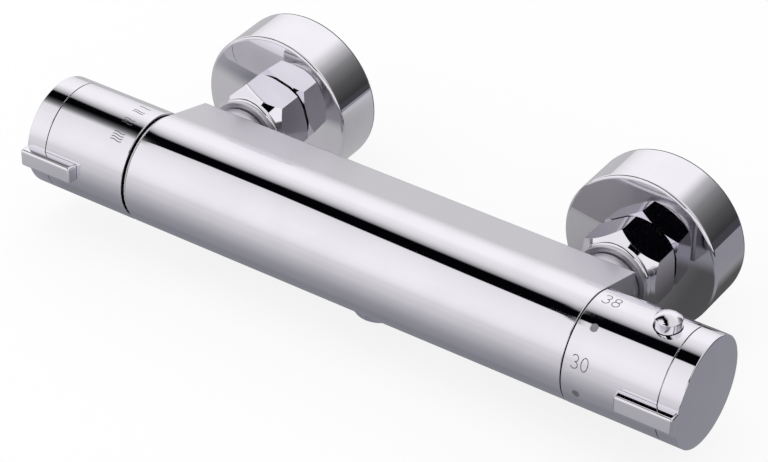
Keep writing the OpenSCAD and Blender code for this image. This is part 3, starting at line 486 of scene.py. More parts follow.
def surface(name, colour, roughness, metallic=0.0, grain=900.0, relief=0.02, uneven=0.15, worn=0.0,
            matt_and_shaded=None, shade_inside=None):
    """A finish with fine grain in its roughness, tone and relief, and with its edges rubbed where
    worn is above 0. Towards the wall from the depth that the second-last argument names it is
    rougher, and darker with painted shade. Nearer the bar's axis than the radius that the last
    argument names it is black, painted shade for a recess. Patterns lie in Object coordinates."""
    material = bpy.data.materials.new(name)
    material.use_nodes = True
    n = Shading(material.node_tree)
    place = n.add("ShaderNodeTexCoord").outputs["Object"]
    fine = n.add("ShaderNodeTexNoise")
    broad = n.add("ShaderNodeTexNoise")
    for noise, scale, detail in ((fine, grain, 6), (broad, grain / BROAD_GRAIN, 3)):
        n.feed(noise.inputs["Vector"], place)
        noise.inputs["Scale"].default_value = scale
        noise.inputs["Detail"].default_value = detail
    grain_height = n.calc("MULTIPLY", n.calc("ADD", fine.outputs[0], broad.outputs[0]), 0.5)
    rough = n.step(grain_height, *GRAIN_RANGE, roughness * (1 - uneven), roughness * (1 + uneven))
    tint = n.mix(n.step(broad.outputs[0], *BROAD_RANGE), tuple(c * BROAD_TINT for c in colour), colour)
    if worn:
        bevel = n.add("ShaderNodeBevel", samples=4)
        bevel.inputs["Radius"].default_value = WORN_RADIUS
        facing = n.add("ShaderNodeVectorMath", operation="DOT_PRODUCT")
        n.feed(facing.inputs[0], bevel.outputs[0])
        n.feed(facing.inputs[1], n.add("ShaderNodeNewGeometry").outputs["Normal"])
        rubbed = n.calc("MULTIPLY", n.step(facing.outputs["Value"], *WORN_RANGE), fine.outputs[0])
        rough = n.calc("ADD", rough, n.calc("MULTIPLY", rubbed, worn))
    # Painted shade: the colour darkens towards the wall, along with a real rougher finish
    if matt_and_shaded:
        depth = n.add("ShaderNodeSeparateXYZ")
        n.feed(depth.inputs[0], place)
        matt_shade_mask = n.step(depth.outputs[1], matt_and_shaded + MATT_SHADE_FADE[0], matt_and_shaded + MATT_SHADE_FADE[1])
        rough = n.calc("ADD", rough, n.calc("MULTIPLY", matt_shade_mask, SATIN_ROUGHNESS))
        tint = n.mix(matt_shade_mask, tint, tuple(c * PAINTED_SHADE_TINT for c in colour))
    # Painted shade: black nearer the axis than the given radius
    if shade_inside:
        out = n.add("ShaderNodeVectorMath", operation="DISTANCE")
        flat = n.add("ShaderNodeVectorMath", operation="MULTIPLY")
        n.feed(flat.inputs[0], place)
        flat.inputs[1].default_value = (0, 1, 1)
        n.feed(out.inputs[0], flat.outputs[0])
        out.inputs[1].default_value = (0, AXIS_Y, AXIS_Z)
        unshaded = n.step(out.outputs["Value"], shade_inside - GAP_SHADE_FADE, shade_inside)
        tint = n.mix(unshaded, PAINTED_GAP_SHADE, tint)
    shader = n.add("ShaderNodeBsdfPrincipled")
    shader.inputs["Metallic"].default_value = metallic
    n.feed(shader.inputs["Base Color"], tint)
    n.feed(shader.inputs["Roughness"], rough)
    bump = n.add("ShaderNodeBump")
    bump.inputs["Strength"].default_value = relief
    bump.inputs["Distance"].default_value = BUMP_HEIGHT
    n.feed(bump.inputs["Height"], grain_height)
    n.feed(shader.inputs["Normal"], bump.outputs[0])
    n.feed(n.add("ShaderNodeOutputMaterial").inputs[0], shader.outputs[0])
    return material


def make_materials():
    chrome = (0.872, 0.853, 0.905)
    return {
        # The bar's rear block is rougher, and darker with painted shade
        "body_chrome": surface("body_chrome", chrome, 0.03, 1.0, worn=0.05, matt_and_shaded=AXIS_Y + MATT_SHADE_BACK),
        "nut_chrome": surface("nut_chrome", chrome, 0.035, 1.0, worn=0.12),
        "escutcheon_chrome": surface("escutcheon_chrome", chrome, 0.03, 1.0, worn=0.05),
        "handle_chrome": surface("handle_chrome", chrome, 0.03, 1.0, worn=0.05),
        "button_chrome": surface("button_chrome", chrome, 0.03, 1.0, worn=0.08),
        "brass": surface("brass", (0.76, 0.58, 0.30), 0.28, 1.0, 1400, 0.15, worn=0.1),
        "spring_steel": surface("spring_steel", (0.56, 0.56, 0.57), 0.25, 1.0, 2000, 0.1),
        "rubber": surface("rubber", (0.018, 0.018, 0.019), 0.62, 0.0, 2500, 0.25),
        "foam_rubber": surface("foam_rubber", (0.035, 0.035, 0.037), 0.9, 0.0, 1800, 0.8, 0.05),
        "dark_plastic": surface("dark_plastic", (0.03, 0.031, 0.034), 0.42, 0.0, 1800, 0.2),
        # Black below the bead's top: painted shade in the ring's gaps
        "trim_plastic": surface("trim_plastic", (0.72, 0.72, 0.74), 0.35, 0.0, 1800, 0.1,
                                shade_inside=TRIM_R - BEAD_SHOWN),
        "white_plastic": surface("white_plastic", (0.80, 0.80, 0.77), 0.4, 0.0, 1800, 0.15),
        "ceramic": surface("ceramic", (0.86, 0.85, 0.81), 0.22, 0.0, 2200, 0.08),
        "grey_enamel": surface("grey_enamel", (0.26, 0.26, 0.28), 0.5, 0.0, 2600, 0.3),
        "etched_chrome": surface("etched_chrome", (0.12, 0.12, 0.13), 0.38, 0.6, 2600, 0.4),
    }


# Shapes
def rounded(points, radii, steps=4, closed=False):
    """An outline in two numbers whose corners get arcs of the given radii (0 keeps a corner)."""
    out = []
    count = len(points)
    for i, point in enumerate(points):
        here = Vector(point)
        if radii[i] == 0 or (not closed and i in (0, count - 1)):
            out.append(here)
            continue
        back = (Vector(points[i - 1]) - here).normalized()
        ahead = (Vector(points[(i + 1) % count]) - here).normalized()
        half = back.angle(ahead) / 2
        centre = here + (back + ahead).normalized() * (radii[i] / math.sin(half))
        start = here + back * (radii[i] / math.tan(half)) - centre
        sweep = (math.pi - 2 * half) * (1 if back.cross(ahead) < 0 else -1)
        for k in range(steps + 1):
            out.append(centre + Matrix.Rotation(sweep * k / steps, 2) @ start)
    return out


def turned(bm, outline, centre, axis, steps=128, closed=False):
    """Spins an outline of (along, radius) pairs right round an axis through centre."""
    axis = Vector(axis)
    side = axis.orthogonal().normalized()
    verts = [bm.verts.new(centre + axis * along + side * radius) for along, radius in outline]
    pairs = list(zip(verts, verts[1:]))
    if closed:
        pairs.append((verts[-1], verts[0]))
    edges = [bm.edges.new(pair) for pair in pairs]
    bmesh.ops.spin(bm, geom=verts + edges, cent=centre, axis=axis, angle=math.tau,
                   steps=steps, use_merge=True)
    bmesh.ops.remove_doubles(bm, verts=bm.verts, dist=0.001 * MM)
    bmesh.ops.recalc_face_normals(bm, faces=bm.faces)


def rod(start, end, radius, centre, axis, steps=128):
    """A plain round tool between two places along an axis, for cutting or joining."""
    bm = bmesh.new()
    turned(bm, [(start, 0), (start, radius), (end, radius), (end, 0)], centre, axis, steps)
    return as_object("rod", bm)


def prism(bm, points, shift):
    """A closed outline of 3-D points, moved along shift to make a solid."""
    face = bm.faces.new([bm.verts.new(point) for point in points])
    moved = bmesh.ops.extrude_face_region(bm, geom=[face])
    tops = [item for item in moved["geom"] if isinstance(item, bmesh.types.BMVert)]
    bmesh.ops.translate(bm, vec=shift, verts=tops)
    bmesh.ops.recalc_face_normals(bm, faces=bm.faces)


def bevelled(bm, wanted, offset, segments=3):
    """Rounds the edges that wanted(edge) picks."""
    edges = [edge for edge in bm.edges if wanted(edge)]
    bmesh.ops.bevel(bm, geom=edges, offset=offset, offset_type="OFFSET", affect="EDGES",
                    segments=segments, profile=0.5, material=-1, clamp_overlap=True)


def as_object(name, bm):
    mesh = bpy.data.meshes.new(name)
    bm.to_mesh(mesh)
    bm.free()
    piece = bpy.data.objects.new(name, mesh)
    bpy.context.scene.collection.objects.link(piece)
    return piece


def settle(piece):
    """Turns a piece with its modifiers into a plain mesh."""
    graph = bpy.context.evaluated_depsgraph_get()
    shape = bpy.data.meshes.new_from_object(piece.evaluated_get(graph))
    piece.modifiers.clear()
    piece.data = shape


def carve(piece, tool, operation="DIFFERENCE"):
    """Cuts or joins one mesh with another, and drops the tool."""
    change = piece.modifiers.new("cut", "BOOLEAN")
    change.operation = operation
    change.solver = "EXACT"
    change.object = tool
    settle(piece)
    bpy.data.objects.remove(tool)


def round_normals(mesh, polygon, rounds):
    """A face's true corner normals where it lies on one of the (centre, axis, radius) cylinders."""
    for centre, axis, radius in rounds:
        if abs(polygon.normal.dot(axis)) > CYLINDER_TILT:
            continue
        across = []
        for index in polygon.vertices:
            out = mesh.vertices[index].co - centre
            across.append(out - axis * out.dot(axis))
        if all(abs(out.length - radius) < CYLINDER_MISS for out in across):
            way = 1 if polygon.normal.dot(across[0]) > 0 else -1
            return [out.normalized() * way for out in across]
    return None


def true_normals(piece, rounds):
    """Shades a piece with exact normals: round faces as true cylinders, wide flat faces flat, and
    the narrow eased edges running from one to the other."""
    mesh = piece.data
    for polygon in mesh.polygons:
        polygon.use_smooth = True
    mesh.set_sharp_from_angle(angle=SHARP_ANGLE)
    normals = [Vector(item.vector) for item in mesh.corner_normals]
    near = {}
    narrow = []
    for polygon in mesh.polygons:
        found = round_normals(mesh, polygon, rounds)
        sides = [(mesh.vertices[a].co - mesh.vertices[b].co).length for a, b in polygon.edge_keys]
        if found is None and polygon.area / max(sides) > WIDE_FACE:
            found = [polygon.normal.copy()] * len(polygon.vertices)
        if found is None:
            narrow.append(polygon)
            continue
        for corner, index, normal in zip(polygon.loop_indices, polygon.vertices, found):
            normals[corner] = normal
            near.setdefault(index, []).append(normal)
    for polygon in narrow:
        for corner, index in zip(polygon.loop_indices, polygon.vertices):
            best = max(near.get(index, []), key=polygon.normal.dot, default=None)
            if best is not None and polygon.normal.angle(best, 0) < CORNER_ANGLE:
                normals[corner] = best
    mesh.normals_split_custom_set(normals)


def weighted(piece):
    """Shades a piece smooth, with the wide faces ruling over the narrow ones."""
    for polygon in piece.data.polygons:
        polygon.use_smooth = True
    piece.data.set_sharp_from_angle(angle=SHARP_ANGLE)
    ruling = piece.modifiers.new("ruling", "WEIGHTED_NORMAL")
    ruling.keep_sharp = True
    ruling.weight = 50


def place(piece, body, slot, *nodes, finish=None):
    """Gives a piece its body, its finish and the CAD nodes that it stands for."""
    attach(piece, body)
    if nodes:
        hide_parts(*nodes)
    piece.data.materials.clear()
    piece.data.materials.append(MATERIALS[finish or slot])


ALONG = Vector((1, 0, 0))
INWARD = Vector((0, 1, 0))
UPWARD = Vector((0, 0, 1))


# Bar
def arc_point(angle):
    return Vector((BAR_R * math.cos(angle), BAR_R * math.sin(angle)))


def bar_section():
    """The bar across its axis: a round front, and a rear block whose slopes leave it along tangents."""
    half = BLOCK_HEIGHT / 2
    reach = math.hypot(BLOCK_DEPTH, half)
    start = math.atan2(half, BLOCK_DEPTH) + math.acos(BAR_R / reach)
    steps = 160
    arc = [arc_point(start + (math.tau - 2 * start) * k / steps) for k in range(steps + 1)]
    return arc + [Vector((BLOCK_DEPTH, -half)), Vector((BLOCK_DEPTH, half))]


def make_bar():
    bm = bmesh.new()
    prism(bm, [at(-BAR_END, p.x, p.y) for p in bar_section()], Vector((2 * BAR_END, 0, 0)))

    def rear_corner(edge):
        return all(abs(abs(v.co.x) - BAR_END) < FIT and abs(v.co.y - AXIS_Y - BLOCK_DEPTH) < FIT
                   for v in edge.verts)

    def outer_edge(edge):
        return edge.calc_face_angle(0) > CORNER_ANGLE

    bevelled(bm, rear_corner, BLOCK_CORNER, 6)
    bevelled(bm, outer_edge, BAR_EASE, 3)
    bar = as_object("bar", bm)
    for side in (-1, 1):
        root = at(side * INLET_X, BOSS_ROOT)
        length = BOSS_END - root.y
        collar = length - BOSS_COLLAR
        tool = bmesh.new()
        groove = collar - BOSS_GROOVE
        floor_r = BOSS_NECK_R - BOSS_GROOVE_DEPTH
        outline = rounded([(0, 0), (0, BOSS_NECK_R), (groove, BOSS_NECK_R), (groove, floor_r),
                           (collar, floor_r), (collar, BOSS_R), (length, BOSS_R), (length, 0)],
                          [0, 0, SMALL_ROUND, 0, 0, BOSS_ROUND, SOFT_ROUND, 0])
        turned(tool, outline, root, INWARD)
        carve(bar, as_object("boss", tool), "UNION")
    pad_root = at(0, OUTLET_Y - AXIS_Y, -PAD_DROP)
    tool = bmesh.new()
    outline = rounded([(0, 0), (0, PAD_R), (PAD_L, PAD_R), (PAD_L, 0)], [0, SOFT_ROUND, 0, 0])
    turned(tool, outline, pad_root, UPWARD)
    carve(bar, as_object("pad", tool), "UNION")
    carve(bar, rod(-BAR_END - PAST, MOUTH_DEPTH - BAR_END, MOUTH_R, at(0), ALONG))
    carve(bar, rod(BAR_END - MOUTH_DEPTH, BAR_END + PAST, MOUTH_R, at(0), ALONG))
    carve(bar, rod(-BAR_END, HEADWORK_DEPTH - BAR_END, HEADWORK_R, at(0), ALONG))
    carve(bar, rod(BAR_END - CARTRIDGE_DEPTH, BAR_END, CARTRIDGE_R, at(0), ALONG))
    for side in (-1, 1):
        carve(bar, rod(BOSS_END - NIPPLE_DEPTH, BOSS_END + PAST, NIPPLE_R + FIT,
                       Vector((side * INLET_X, 0, AXIS_Z)), INWARD))
    carve(bar, rod(-PAST, OUTLET_SEAT, OUTLET_SHANK + FIT, pad_root, UPWARD))
    carve(bar, rod(-PAST, OUTLET_PASSAGE, OUTLET_BORE, pad_root, UPWARD))
    bosses = [(at(side * INLET_X), INWARD, BOSS_R) for side in (-1, 1)]
    true_normals(bar, [(at(0), ALONG, BAR_R), (pad_root, UPWARD, PAD_R), (at(0), ALONG, MOUTH_R)] + bosses)
    place(bar, "fixed_valve", "body_chrome", "valve_body")


def make_trim_ring():
    """The ring before the flow handle: a light rounded bead with a gap at either side, which
    takes a share of the ring's width. The gaps' black is painted shade in the ring's material."""
    inner = HANDLE_BORE - TRIM_LEDGE
    base = TRIM_R - TRIM_BEAD_H
    gap = TRIM_GAP_SHARE * (TRIM_END - BAR_END)
    near = BAR_END + gap
    far = TRIM_END - gap
    bm = bmesh.new()
    outline = rounded([(BAR_END, inner), (BAR_END, base), (near, base), (near, TRIM_R), (far, TRIM_R),
                       (far, base), (TRIM_END, base), (TRIM_END, inner)],
                      [0, 0, 0, TRIM_BEAD_ROUND, TRIM_BEAD_ROUND, 0, 0, 0], closed=True)
    turned(bm, [(-along, r) for along, r in outline], at(0), ALONG, 192, closed=True)
    ring = as_object("trim_ring", bm)
    weighted(ring)
    place(ring, "fixed_valve", "trim_plastic", "flow_trim_ring")


# Inlets
def make_nut(name, side, turn, node):
    """A union nut: a round collar with a rounded rim, a cone out to the hexagon, and rear corners
    turned down."""
    centre = Vector((side * INLET_X, NUT_FRONT, AXIS_Z))
    length = NUT_REAR - NUT_FRONT
    corner = NUT_FLATS / 2 / math.cos(math.radians(30))
    angles = [math.radians(60 * k + 30) for k in range(6)]
    bm = bmesh.new()
    corners = [centre + corner * Vector((math.sin(a), 0, math.cos(a))) for a in angles]
    prism(bm, corners, Vector((0, length, 0)))
    nut = as_object(name, bm)
    wide = corner + PAST
    slope = (NUT_CONE - NUT_COLLAR) / (corner - NUT_FRONT_R)
    cone_end = NUT_COLLAR + slope * (wide - NUT_FRONT_R)
    outline = rounded([(0, 0), (0, NUT_FRONT_R), (NUT_COLLAR, NUT_FRONT_R), (cone_end, wide),
                       (length - NUT_REAR_TURN, wide), (length, NUT_REAR_R), (length, 0)],
                      [0, NUT_RIM_ROUND, 0, 0, 0, 0, 0], 9)
    tool = bmesh.new()
    turned(tool, outline, centre, INWARD, 144)
    carve(nut, as_object("turned_outline", tool), "INTERSECT")
    carve(nut, rod(-PAST, length, NIPPLE_R + 2 * FIT, centre, INWARD))
    carve(nut, rod(NUT_WEB, length + PAST, UNION_R + FIT, centre, INWARD))
    to_centre = Matrix.Translation(centre)
    nut.data.transform(to_centre @ Matrix.Rotation(turn, 4, "Y") @ to_centre.inverted())
    ease = nut.modifiers.new("ease", "BEVEL")
    ease.width = NUT_EASE
    ease.segments = 4
    ease.limit_method = "ANGLE"
    ease.angle_limit = NUT_EASE_ANGLE
    weighted(nut)
    place(nut, "fixed_valve", "nut_chrome", node)


def make_cover(name, side, node):
    """A wall cover: a slightly domed face with a rounded rim, and a hub inside."""
    centre = Vector((side * INLET_X, COVER_Y, AXIS_Z))
    depth = -COVER_Y - SEAL_LIP
    dome = (COVER_R ** 2 + COVER_CROWN ** 2) / (2 * COVER_CROWN)
    hole = UNION_R + FIT
    shoulder = COVER_R - COVER_ROUND
    face = [(dome - math.sqrt(dome ** 2 - r ** 2), r)
            for r in [hole + (shoulder - hole) * k / 24 for k in range(25)]]
    lip = face[-1][0] + COVER_ROUND
    rim = [(lip - COVER_ROUND * math.cos(a), shoulder + COVER_ROUND * math.sin(a))
           for a in [math.radians(angle) for angle in range(8, 91, 8)]]
    inner = COVER_R - COVER_WALL
    web = COVER_CROWN + COVER_WALL
    rear = rounded([rim[-1], (depth, COVER_R), (depth, inner), (web, inner), (web, HUB_R),
                    (HUB_L, HUB_R), (HUB_L, hole), face[0]],
                   [0, SOFT_ROUND, SMALL_ROUND, COVER_FILLET, HUB_FILLET, SOFT_ROUND, 0, 0])
    bm = bmesh.new()
    turned(bm, face + rim + [tuple(p) for p in rear[1:-1]], centre, INWARD, 256, closed=True)
    cover = as_object(name, bm)
    weighted(cover)
    place(cover, "fixed_valve", "escutcheon_chrome", node)


def make_seal(name, side, node):
    """The foam seal inside the cover's rear edge, with a thin lip between cover and wall."""
    outer = COVER_R - COVER_WALL - FIT
    lip_r = COVER_R - SEAL_INSET
    bm = bmesh.new()
    outline = rounded([(-SEAL_T, outer - SEAL_W), (-SEAL_T, outer), (-SEAL_LIP, outer),
                       (-SEAL_LIP, lip_r), (0, lip_r), (0, outer - SEAL_W)],
                      [SOFT_ROUND, SMALL_ROUND, 0, FINE_ROUND, FINE_ROUND, SOFT_ROUND], closed=True)
    turned(bm, outline, Vector((side * INLET_X, 0, AXIS_Z)), INWARD, 192, closed=True)
    seal = as_object(name, bm)
    weighted(seal)
    place(seal, "fixed_valve", "foam_rubber", node)


def thread(bm, start, end, radius, centre, axis):
    """A thread's ridge: a triangle wound round a rod, with its root just inside the rod."""
    side = axis.orthogonal().normalized()
    root = radius - THREAD_DEPTH - THREAD_ROOT
    steps = 40
    turns = (end - start - THREAD_PITCH) / THREAD_PITCH
    shares = (0, *THREAD_CREST, THREAD_FOOT)
    verts = [bm.verts.new(centre + axis * (start + THREAD_PITCH * share) + side * r)
             for share, r in zip(shares, (root, radius, radius, root))]
    edges = [bm.edges.new(pair) for pair in zip(verts, verts[1:] + verts[:1])]
    count = round(steps * turns)
    rise = axis * (THREAD_PITCH * turns / count)
    wound = bmesh.ops.spin(bm, geom=verts + edges, cent=centre, axis=axis, dvec=rise,
                           angle=math.tau * turns, steps=count)
    last = [item for item in wound["geom_last"] if isinstance(item, bmesh.types.BMVert)]
    bm.faces.new(verts)
    bm.faces.new(last)
    bmesh.ops.recalc_face_normals(bm, faces=bm.faces)


def make_union(name, side, node):
    """An eccentric wall union: a threaded barrel for the nut and a lower threaded end in the wall."""
    upper = Vector((side * INLET_X, 0, AXIS_Z))
    lower = upper - UPWARD * UNION_OFFSET
    barrel_end = UNION_FRONT + UNION_BARREL
    web = barrel_end - UNION_WEB
    union = rod(UNION_FRONT, barrel_end, UNION_R - THREAD_DEPTH, upper, INWARD, 96)
    union.name = name
    carve(union, rod(web, 0, WALL_NECK_R, lower, INWARD, 96), "UNION")
    carve(union, rod(-PAST, THREAD_END, WALL_THREAD_R - THREAD_DEPTH, lower, INWARD, 96), "UNION")
    carve(union, rod(UNION_FRONT - PAST, barrel_end - UNION_SKIN, UNION_BORE, upper, INWARD, 96))
    carve(union, rod(web + UNION_SKIN, THREAD_END + PAST, UNION_BORE, lower, INWARD, 96))
    bm = bmesh.new()
    bm.from_mesh(union.data)
    thread(bm, UNION_FRONT + THREAD_LEAD, barrel_end - THREAD_STOP, UNION_R, upper, INWARD)
    thread(bm, THREAD_STOP, THREAD_END - THREAD_LEAD, WALL_THREAD_R, lower, INWARD)
    bm.to_mesh(union.data)
    bm.free()
    weighted(union)
    place(union, "fixed_valve", "brass", node)


def make_outlet():
    """The threaded outlet under the bar, for the hose."""
    centre = Vector((0, OUTLET_Y, OUTLET_Z))
    length = AXIS_Z - PAD_DROP - OUTLET_Z
    top = OUTLET_TOP - OUTLET_Z
    root = OUTLET_R - THREAD_DEPTH
    bm = bmesh.new()
    outline = rounded([(0, OUTLET_BORE), (0, root), (length, root), (length, OUTLET_SHANK),
                       (top, OUTLET_SHANK), (top, OUTLET_BORE)],
                      [OUTLET_ROUND, OUTLET_ROUND, 0, 0, 0, 0], closed=True)
    turned(bm, outline, centre, UPWARD, 96, closed=True)
    thread(bm, THREAD_LEAD, length - OUTLET_STOP, OUTLET_R, centre, UPWARD)
    outlet = as_object("outlet_thread", bm)
    weighted(outlet)
    place(outlet, "fixed_valve", "body_chrome", "outlet_nipple")


# Handles
def make_shell(name, side, start, body, node, hole=False):
    """One handle: a tube with eased edges and the narrow groove before its cap."""
    floor_r = HANDLE_R - CAP_GROOVE_DEPTH
    groove = CAP_X - CAP_GROOVE
    outline = rounded([(start, HANDLE_BORE), (start, HANDLE_R), (groove, HANDLE_R), (groove, floor_r),
                       (CAP_X, floor_r), (CAP_X, HANDLE_BORE)],
                      [0, HANDLE_EASE, FINE_ROUND, 0, 0, 0], closed=True)
    bm = bmesh.new()
    turned(bm, [(side * along, r) for along, r in outline], at(0), ALONG, 192, closed=True)
    shell = as_object(name, bm)
    if hole:
        carve(shell, rod(0, 2 * HANDLE_R, BUTTON_R + BUTTON_GAP, at(BUTTON_X), UPWARD, 96))
    true_normals(shell, [(at(0), ALONG, HANDLE_R), (at(0), ALONG, HANDLE_BORE)])
    place(shell, body, "handle_chrome", node)


def make_lever(side, middle):
    """The lever before it is joined to its cap: flat above and below, its outer front corner round."""
    front = LEVER_FRONT - AXIS_Y
    end = END_X - FIT
    back = front + LEVER_BACK
    inner = LEVER_IN - LEVER_SLANT
    plan = rounded([(inner, back), (LEVER_IN + LEVER_SLANT, front), (end, front), (end, back)],
                   [0, 0, LEVER_ROUND, 0], 6, closed=True)
    bm = bmesh.new()
    prism(bm, [at(side * x, y, middle - LEVER_H / 2) for x, y in plan], Vector((0, 0, LEVER_H)))

    def shown_rim(edge):
        a, b = (v.co for v in edge.verts)
        at_back = min(a.y, b.y) > AXIS_Y + back - FIT
        upright = abs(a.z - b.z) > FIT
        inner_corner = abs(abs(a.x) - LEVER_IN - LEVER_SLANT) < FIT and a.y < AXIS_Y + front + FIT
        return not at_back and (not upright or inner_corner)

    edges = [edge for edge in bm.edges if shown_rim(edge)]
    bmesh.ops.bevel(bm, geom=edges, offset=LEVER_EASE, offset_type="OFFSET", affect="EDGES",
                    segments=4, profile=0.5, material=-1, clamp_overlap=False)
    lever = as_object("lever", bm)
    ends = (0, CAP_X) if side > 0 else (-CAP_X, 0)
    carve(lever, rod(*ends, HANDLE_R + LEVER_GAP, at(0), ALONG, 192))
    carve(lever, rod(-END_X, END_X, HANDLE_R - LEVER_ROOT, at(0), ALONG, 192))
    return lever


def make_cap(name, side, middle, body, node, notch=False):
    """A handle's end cap: its plug, its flat end and its lever in one."""
    plug_r = HANDLE_BORE - FIT
    plug_x = CAP_X - PLUG_L
    hollow_x = END_X - CAP_WALL
    hollow_r = plug_r - CAP_WALL
    outline = rounded([(hollow_x, 0), (hollow_x, hollow_r), (plug_x, hollow_r), (plug_x, plug_r),
                       (CAP_X, plug_r), (CAP_X, HANDLE_R), (END_X, HANDLE_R), (END_X, 0)],
                      [0, 0, 0, SOFT_ROUND, 0, FINE_ROUND, CAP_EASE, 0])
    bm = bmesh.new()
    turned(bm, [(side * along, r) for along, r in outline], at(0), ALONG, 192)
    cap = as_object(name, bm)
    carve(cap, make_lever(side, middle), "UNION")
    if notch:
        width = BUTTON_FLANGE_R + NOTCH_ROOM
        tool = bmesh.new()
        near = [at(plug_x - PAST, y, SHELF_Z) for y in (-width, width)]
        far = [at(plug_x + BUTTON_FLANGE_R, y, SHELF_Z) for y in (width, -width)]
        prism(tool, near + far, Vector((0, 0, plug_r - SHELF_Z + PAST)))
        carve(cap, as_object("notch", tool))
    true_normals(cap, [(at(0), ALONG, radius) for radius in (HANDLE_R, HANDLE_R + LEVER_GAP, plug_r)])
    place(cap, body, "handle_chrome", node)


def make_button():
    """The safety button: a domed pin on a flange, with the latch arm that reaches to the stop."""
    dome = (BUTTON_R ** 2 + BUTTON_DOME ** 2) / (2 * BUTTON_DOME)
    shoulder = BUTTON_TOP - AXIS_Z - BUTTON_DOME
    flange = BUTTON_LOW - AXIS_Z
    seat = flange + BUTTON_FLANGE_T
    crown = [(shoulder + BUTTON_DOME - (dome - math.sqrt(dome ** 2 - r ** 2)), r)
             for r in [BUTTON_R * BUTTON_CROWN_SHARE * (1 - k / 16) for k in range(17)]]
    outline = rounded([(flange, 0), (flange, BUTTON_FLANGE_R), (seat, BUTTON_FLANGE_R), (seat, BUTTON_R),
                       (shoulder + BUTTON_RIM, BUTTON_R), crown[0]],
                      [0, SMALL_ROUND, SMALL_ROUND, 0, BUTTON_EASE, 0])
    bm = bmesh.new()
    turned(bm, [tuple(p) for p in outline] + crown[1:], at(BUTTON_X), UPWARD, 96)
    button = as_object("button", bm)
    tool = bmesh.new()
    tip = [at(ARM_X, y, flange + FIT) for y in (-ARM_W / 2, ARM_W / 2)]
    root = [at(BUTTON_X, v.y - AXIS_Y, flange + FIT) for v in reversed(tip)]
    prism(tool, tip + root, Vector((0, 0, BUTTON_FLANGE_T - 2 * FIT)))
    bevelled(tool, lambda edge: all(abs(v.co.x - ARM_X) < FIT for v in edge.verts), SOFT_ROUND)
    carve(button, as_object("arm", tool), "UNION")
    weighted(button)
    place(button, "safety_button", "button_chrome", "safety_button")


# Marks on the handles
def on_handle(x, angle, along=0.0, up=0.0, height=0.0):
    """A point on the handles' surface: angle in degrees from the top towards the front, and steps
    along the bar and up the surface from there."""
    turn = math.radians(angle) - up / HANDLE_R
    radius = HANDLE_R + height
    return at(x + along, -radius * math.sin(turn), radius * math.cos(turn))


def arc(centre_x, centre_z, radius_x, radius_z, start, end, steps=20):
    """Points round an ellipse, in shares of a numeral's height."""
    turns = [math.radians(start + (end - start) * k / steps) for k in range(steps + 1)]
    return [(centre_x + radius_x * math.cos(t), centre_z + radius_z * math.sin(t)) for t in turns]


NUMERALS = {
    "0": [arc(0, 0, 0.26, 0.5, 90, 450, 40)],
    "3": [arc(-0.02, 0.25, 0.23, 0.25, 155, -90), arc(-0.02, -0.25, 0.27, 0.25, 90, -155)],
    "8": [arc(0, 0.26, 0.22, 0.24, -90, 270, 32), arc(0, -0.24, 0.27, 0.26, 90, 450, 32)],
}
NUMERAL_H = 4.6 * MM
NUMERAL_STEP = 3.5 * MM
NUMBERS = [("38", 93.3 * MM, -3), ("30", 93.5 * MM, 69)]
DOTS = [("upper_dot", 93.7 * MM, 33), ("lower_dot", 93.2 * MM, 104)]
DOT_R = 1.45 * MM
DOT_DEPTH = 0.3 * MM
DOT_PROUD = 0.02 * MM
WAVES_X = -96 * MM
WAVE_ROWS = [(4, 35), (3, 15), (2, -2), (1, -13)]
WAVE_L = 4.6 * MM
WAVE_SWING = 0.22 * MM
WAVE_PITCH = 0.98 * MM
# The strokes' thickness, and how deep their middles lie
LINE_R = 0.2 * MM
NUMBER_SINK = 0.11 * MM
WAVE_SINK = 0.12 * MM


def engraved(name, paths, body, slot, finish):
    """Fine lines let into a surface: thin round strokes that stand just proud of it."""
    data = bpy.data.curves.new(name, "CURVE")
    data.dimensions = "3D"
    data.bevel_depth = LINE_R
    data.bevel_resolution = 2
    data.use_fill_caps = True
    for points in paths:
        ring = (points[0] - points[-1]).length < FIT
        if ring:
            points = points[:-1]
        line = data.splines.new("POLY")
        line.points.add(len(points) - 1)
        line.use_cyclic_u = ring
        for knot, point in zip(line.points, points):
            knot.co = (*point, 1)
    drawing = bpy.data.objects.new(name, data)
    bpy.context.scene.collection.objects.link(drawing)
    graph = bpy.context.evaluated_depsgraph_get()
    mesh = bpy.data.meshes.new_from_object(drawing.evaluated_get(graph))
    bpy.data.objects.remove(drawing)
    lines = bpy.data.objects.new(name, mesh)
    bpy.context.scene.collection.objects.link(lines)
    weighted(lines)
    place(lines, body, slot, finish=finish)


def make_numbers():
    """The generic temperature numbers on the right handle."""
    paths = []
    for number, x, angle in NUMBERS:
        for k, digit in enumerate(number):
            shift = (k - 0.5) * NUMERAL_STEP
            for stroke in NUMERALS[digit]:
                paths.append([on_handle(x, angle, shift + NUMERAL_H * across, NUMERAL_H * up, -NUMBER_SINK)
                              for across, up in stroke])
    engraved("temperature_numbers", paths, "temperature_handle", "handle_chrome", "etched_chrome")


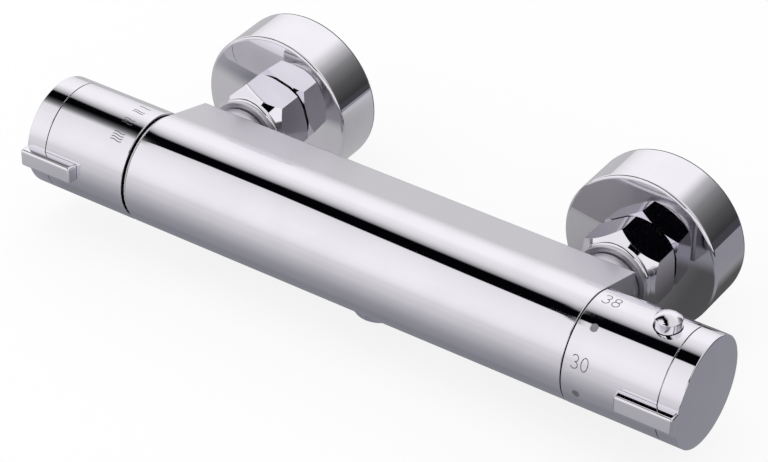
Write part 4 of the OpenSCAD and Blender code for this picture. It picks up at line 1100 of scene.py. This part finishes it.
def make_dots():
    """The round grey marks between the numbers."""
    sag = DOT_R ** 2 / (2 * HANDLE_R)
    shares = [1 - k / 6 for k in range(7)]
    top = [(DOT_PROUD - sag * share ** 2 * 0.5, DOT_R * share) for share in shares]
    for name, x, angle in DOTS:
        middle = on_handle(x, angle)
        axis = (middle - at(x)).normalized()
        bm = bmesh.new()
        turned(bm, [(-DOT_DEPTH, 0), (-DOT_DEPTH, DOT_R)] + top, middle, axis, 48)
        dot = as_object(name, bm)
        weighted(dot)
        place(dot, "temperature_handle", "trim_plastic", finish="grey_enamel")


def make_waves():
    """The flow marks on the left handle: one to four short wavy lines."""
    paths = []
    line = [((i / 24 - 0.5) * WAVE_L, WAVE_SWING * math.sin(math.tau * i / 24)) for i in range(25)]
    for count, angle in WAVE_ROWS:
        for k in range(count):
            row = (k - (count - 1) / 2) * WAVE_PITCH
            paths.append([on_handle(WAVES_X, angle, along, row + up, -WAVE_SINK) for along, up in line])
    engraved("flow_waves", paths, "flow_handle", "handle_chrome", "etched_chrome")


def finish_inner_nodes():
    """The pieces that stay as the CAD has them get their slot's finish."""
    slots = {part["node"]: part.get("material_slot") for part in frame["record"].get("subparts", [])}
    for name, node in frame["nodes"].items():
        if not node.hide_render:
            node.data.materials.clear()
            node.data.materials.append(MATERIALS[slots[name]])


make_camera()
make_world()
make_floor()
make_lamp("key_lamp", (-0.5, -0.2, 1.2), 1.0, 3)
make_lamp("fill_lamp", (0.9, -0.9, 0.7), 0.8, 1)
MATERIALS = make_materials()
make_bar()
make_trim_ring()
make_nut("hot_nut", -1, HOT_NUT_TURN, "hot_union_nut")
make_nut("cold_nut", 1, COLD_NUT_TURN, "cold_union_nut")
for side, water in ((-1, "hot"), (1, "cold")):
    make_cover(f"{water}_cover", side, f"{water}_escutcheon")
    make_seal(f"{water}_seal", side, f"{water}_wall_seal")
    make_union(f"{water}_union", side, f"{water}_wall_union")
make_shell("temperature_shell", 1, TEMPERATURE_START, "temperature_handle", "temperature_handle",
           hole=True)
make_shell("flow_shell", -1, FLOW_START, "flow_handle", "flow_handle")
make_cap("temperature_end", 1, TEMPERATURE_LEVER_Z, "temperature_handle", "temperature_cap",
         notch=True)
make_cap("flow_end", -1, FLOW_LEVER_Z, "flow_handle", "flow_cap")
make_button()
make_outlet()
make_numbers()
make_dots()
make_waves()
finish_inner_nodes()

bpy.context.scene.view_settings.view_transform = "Standard"
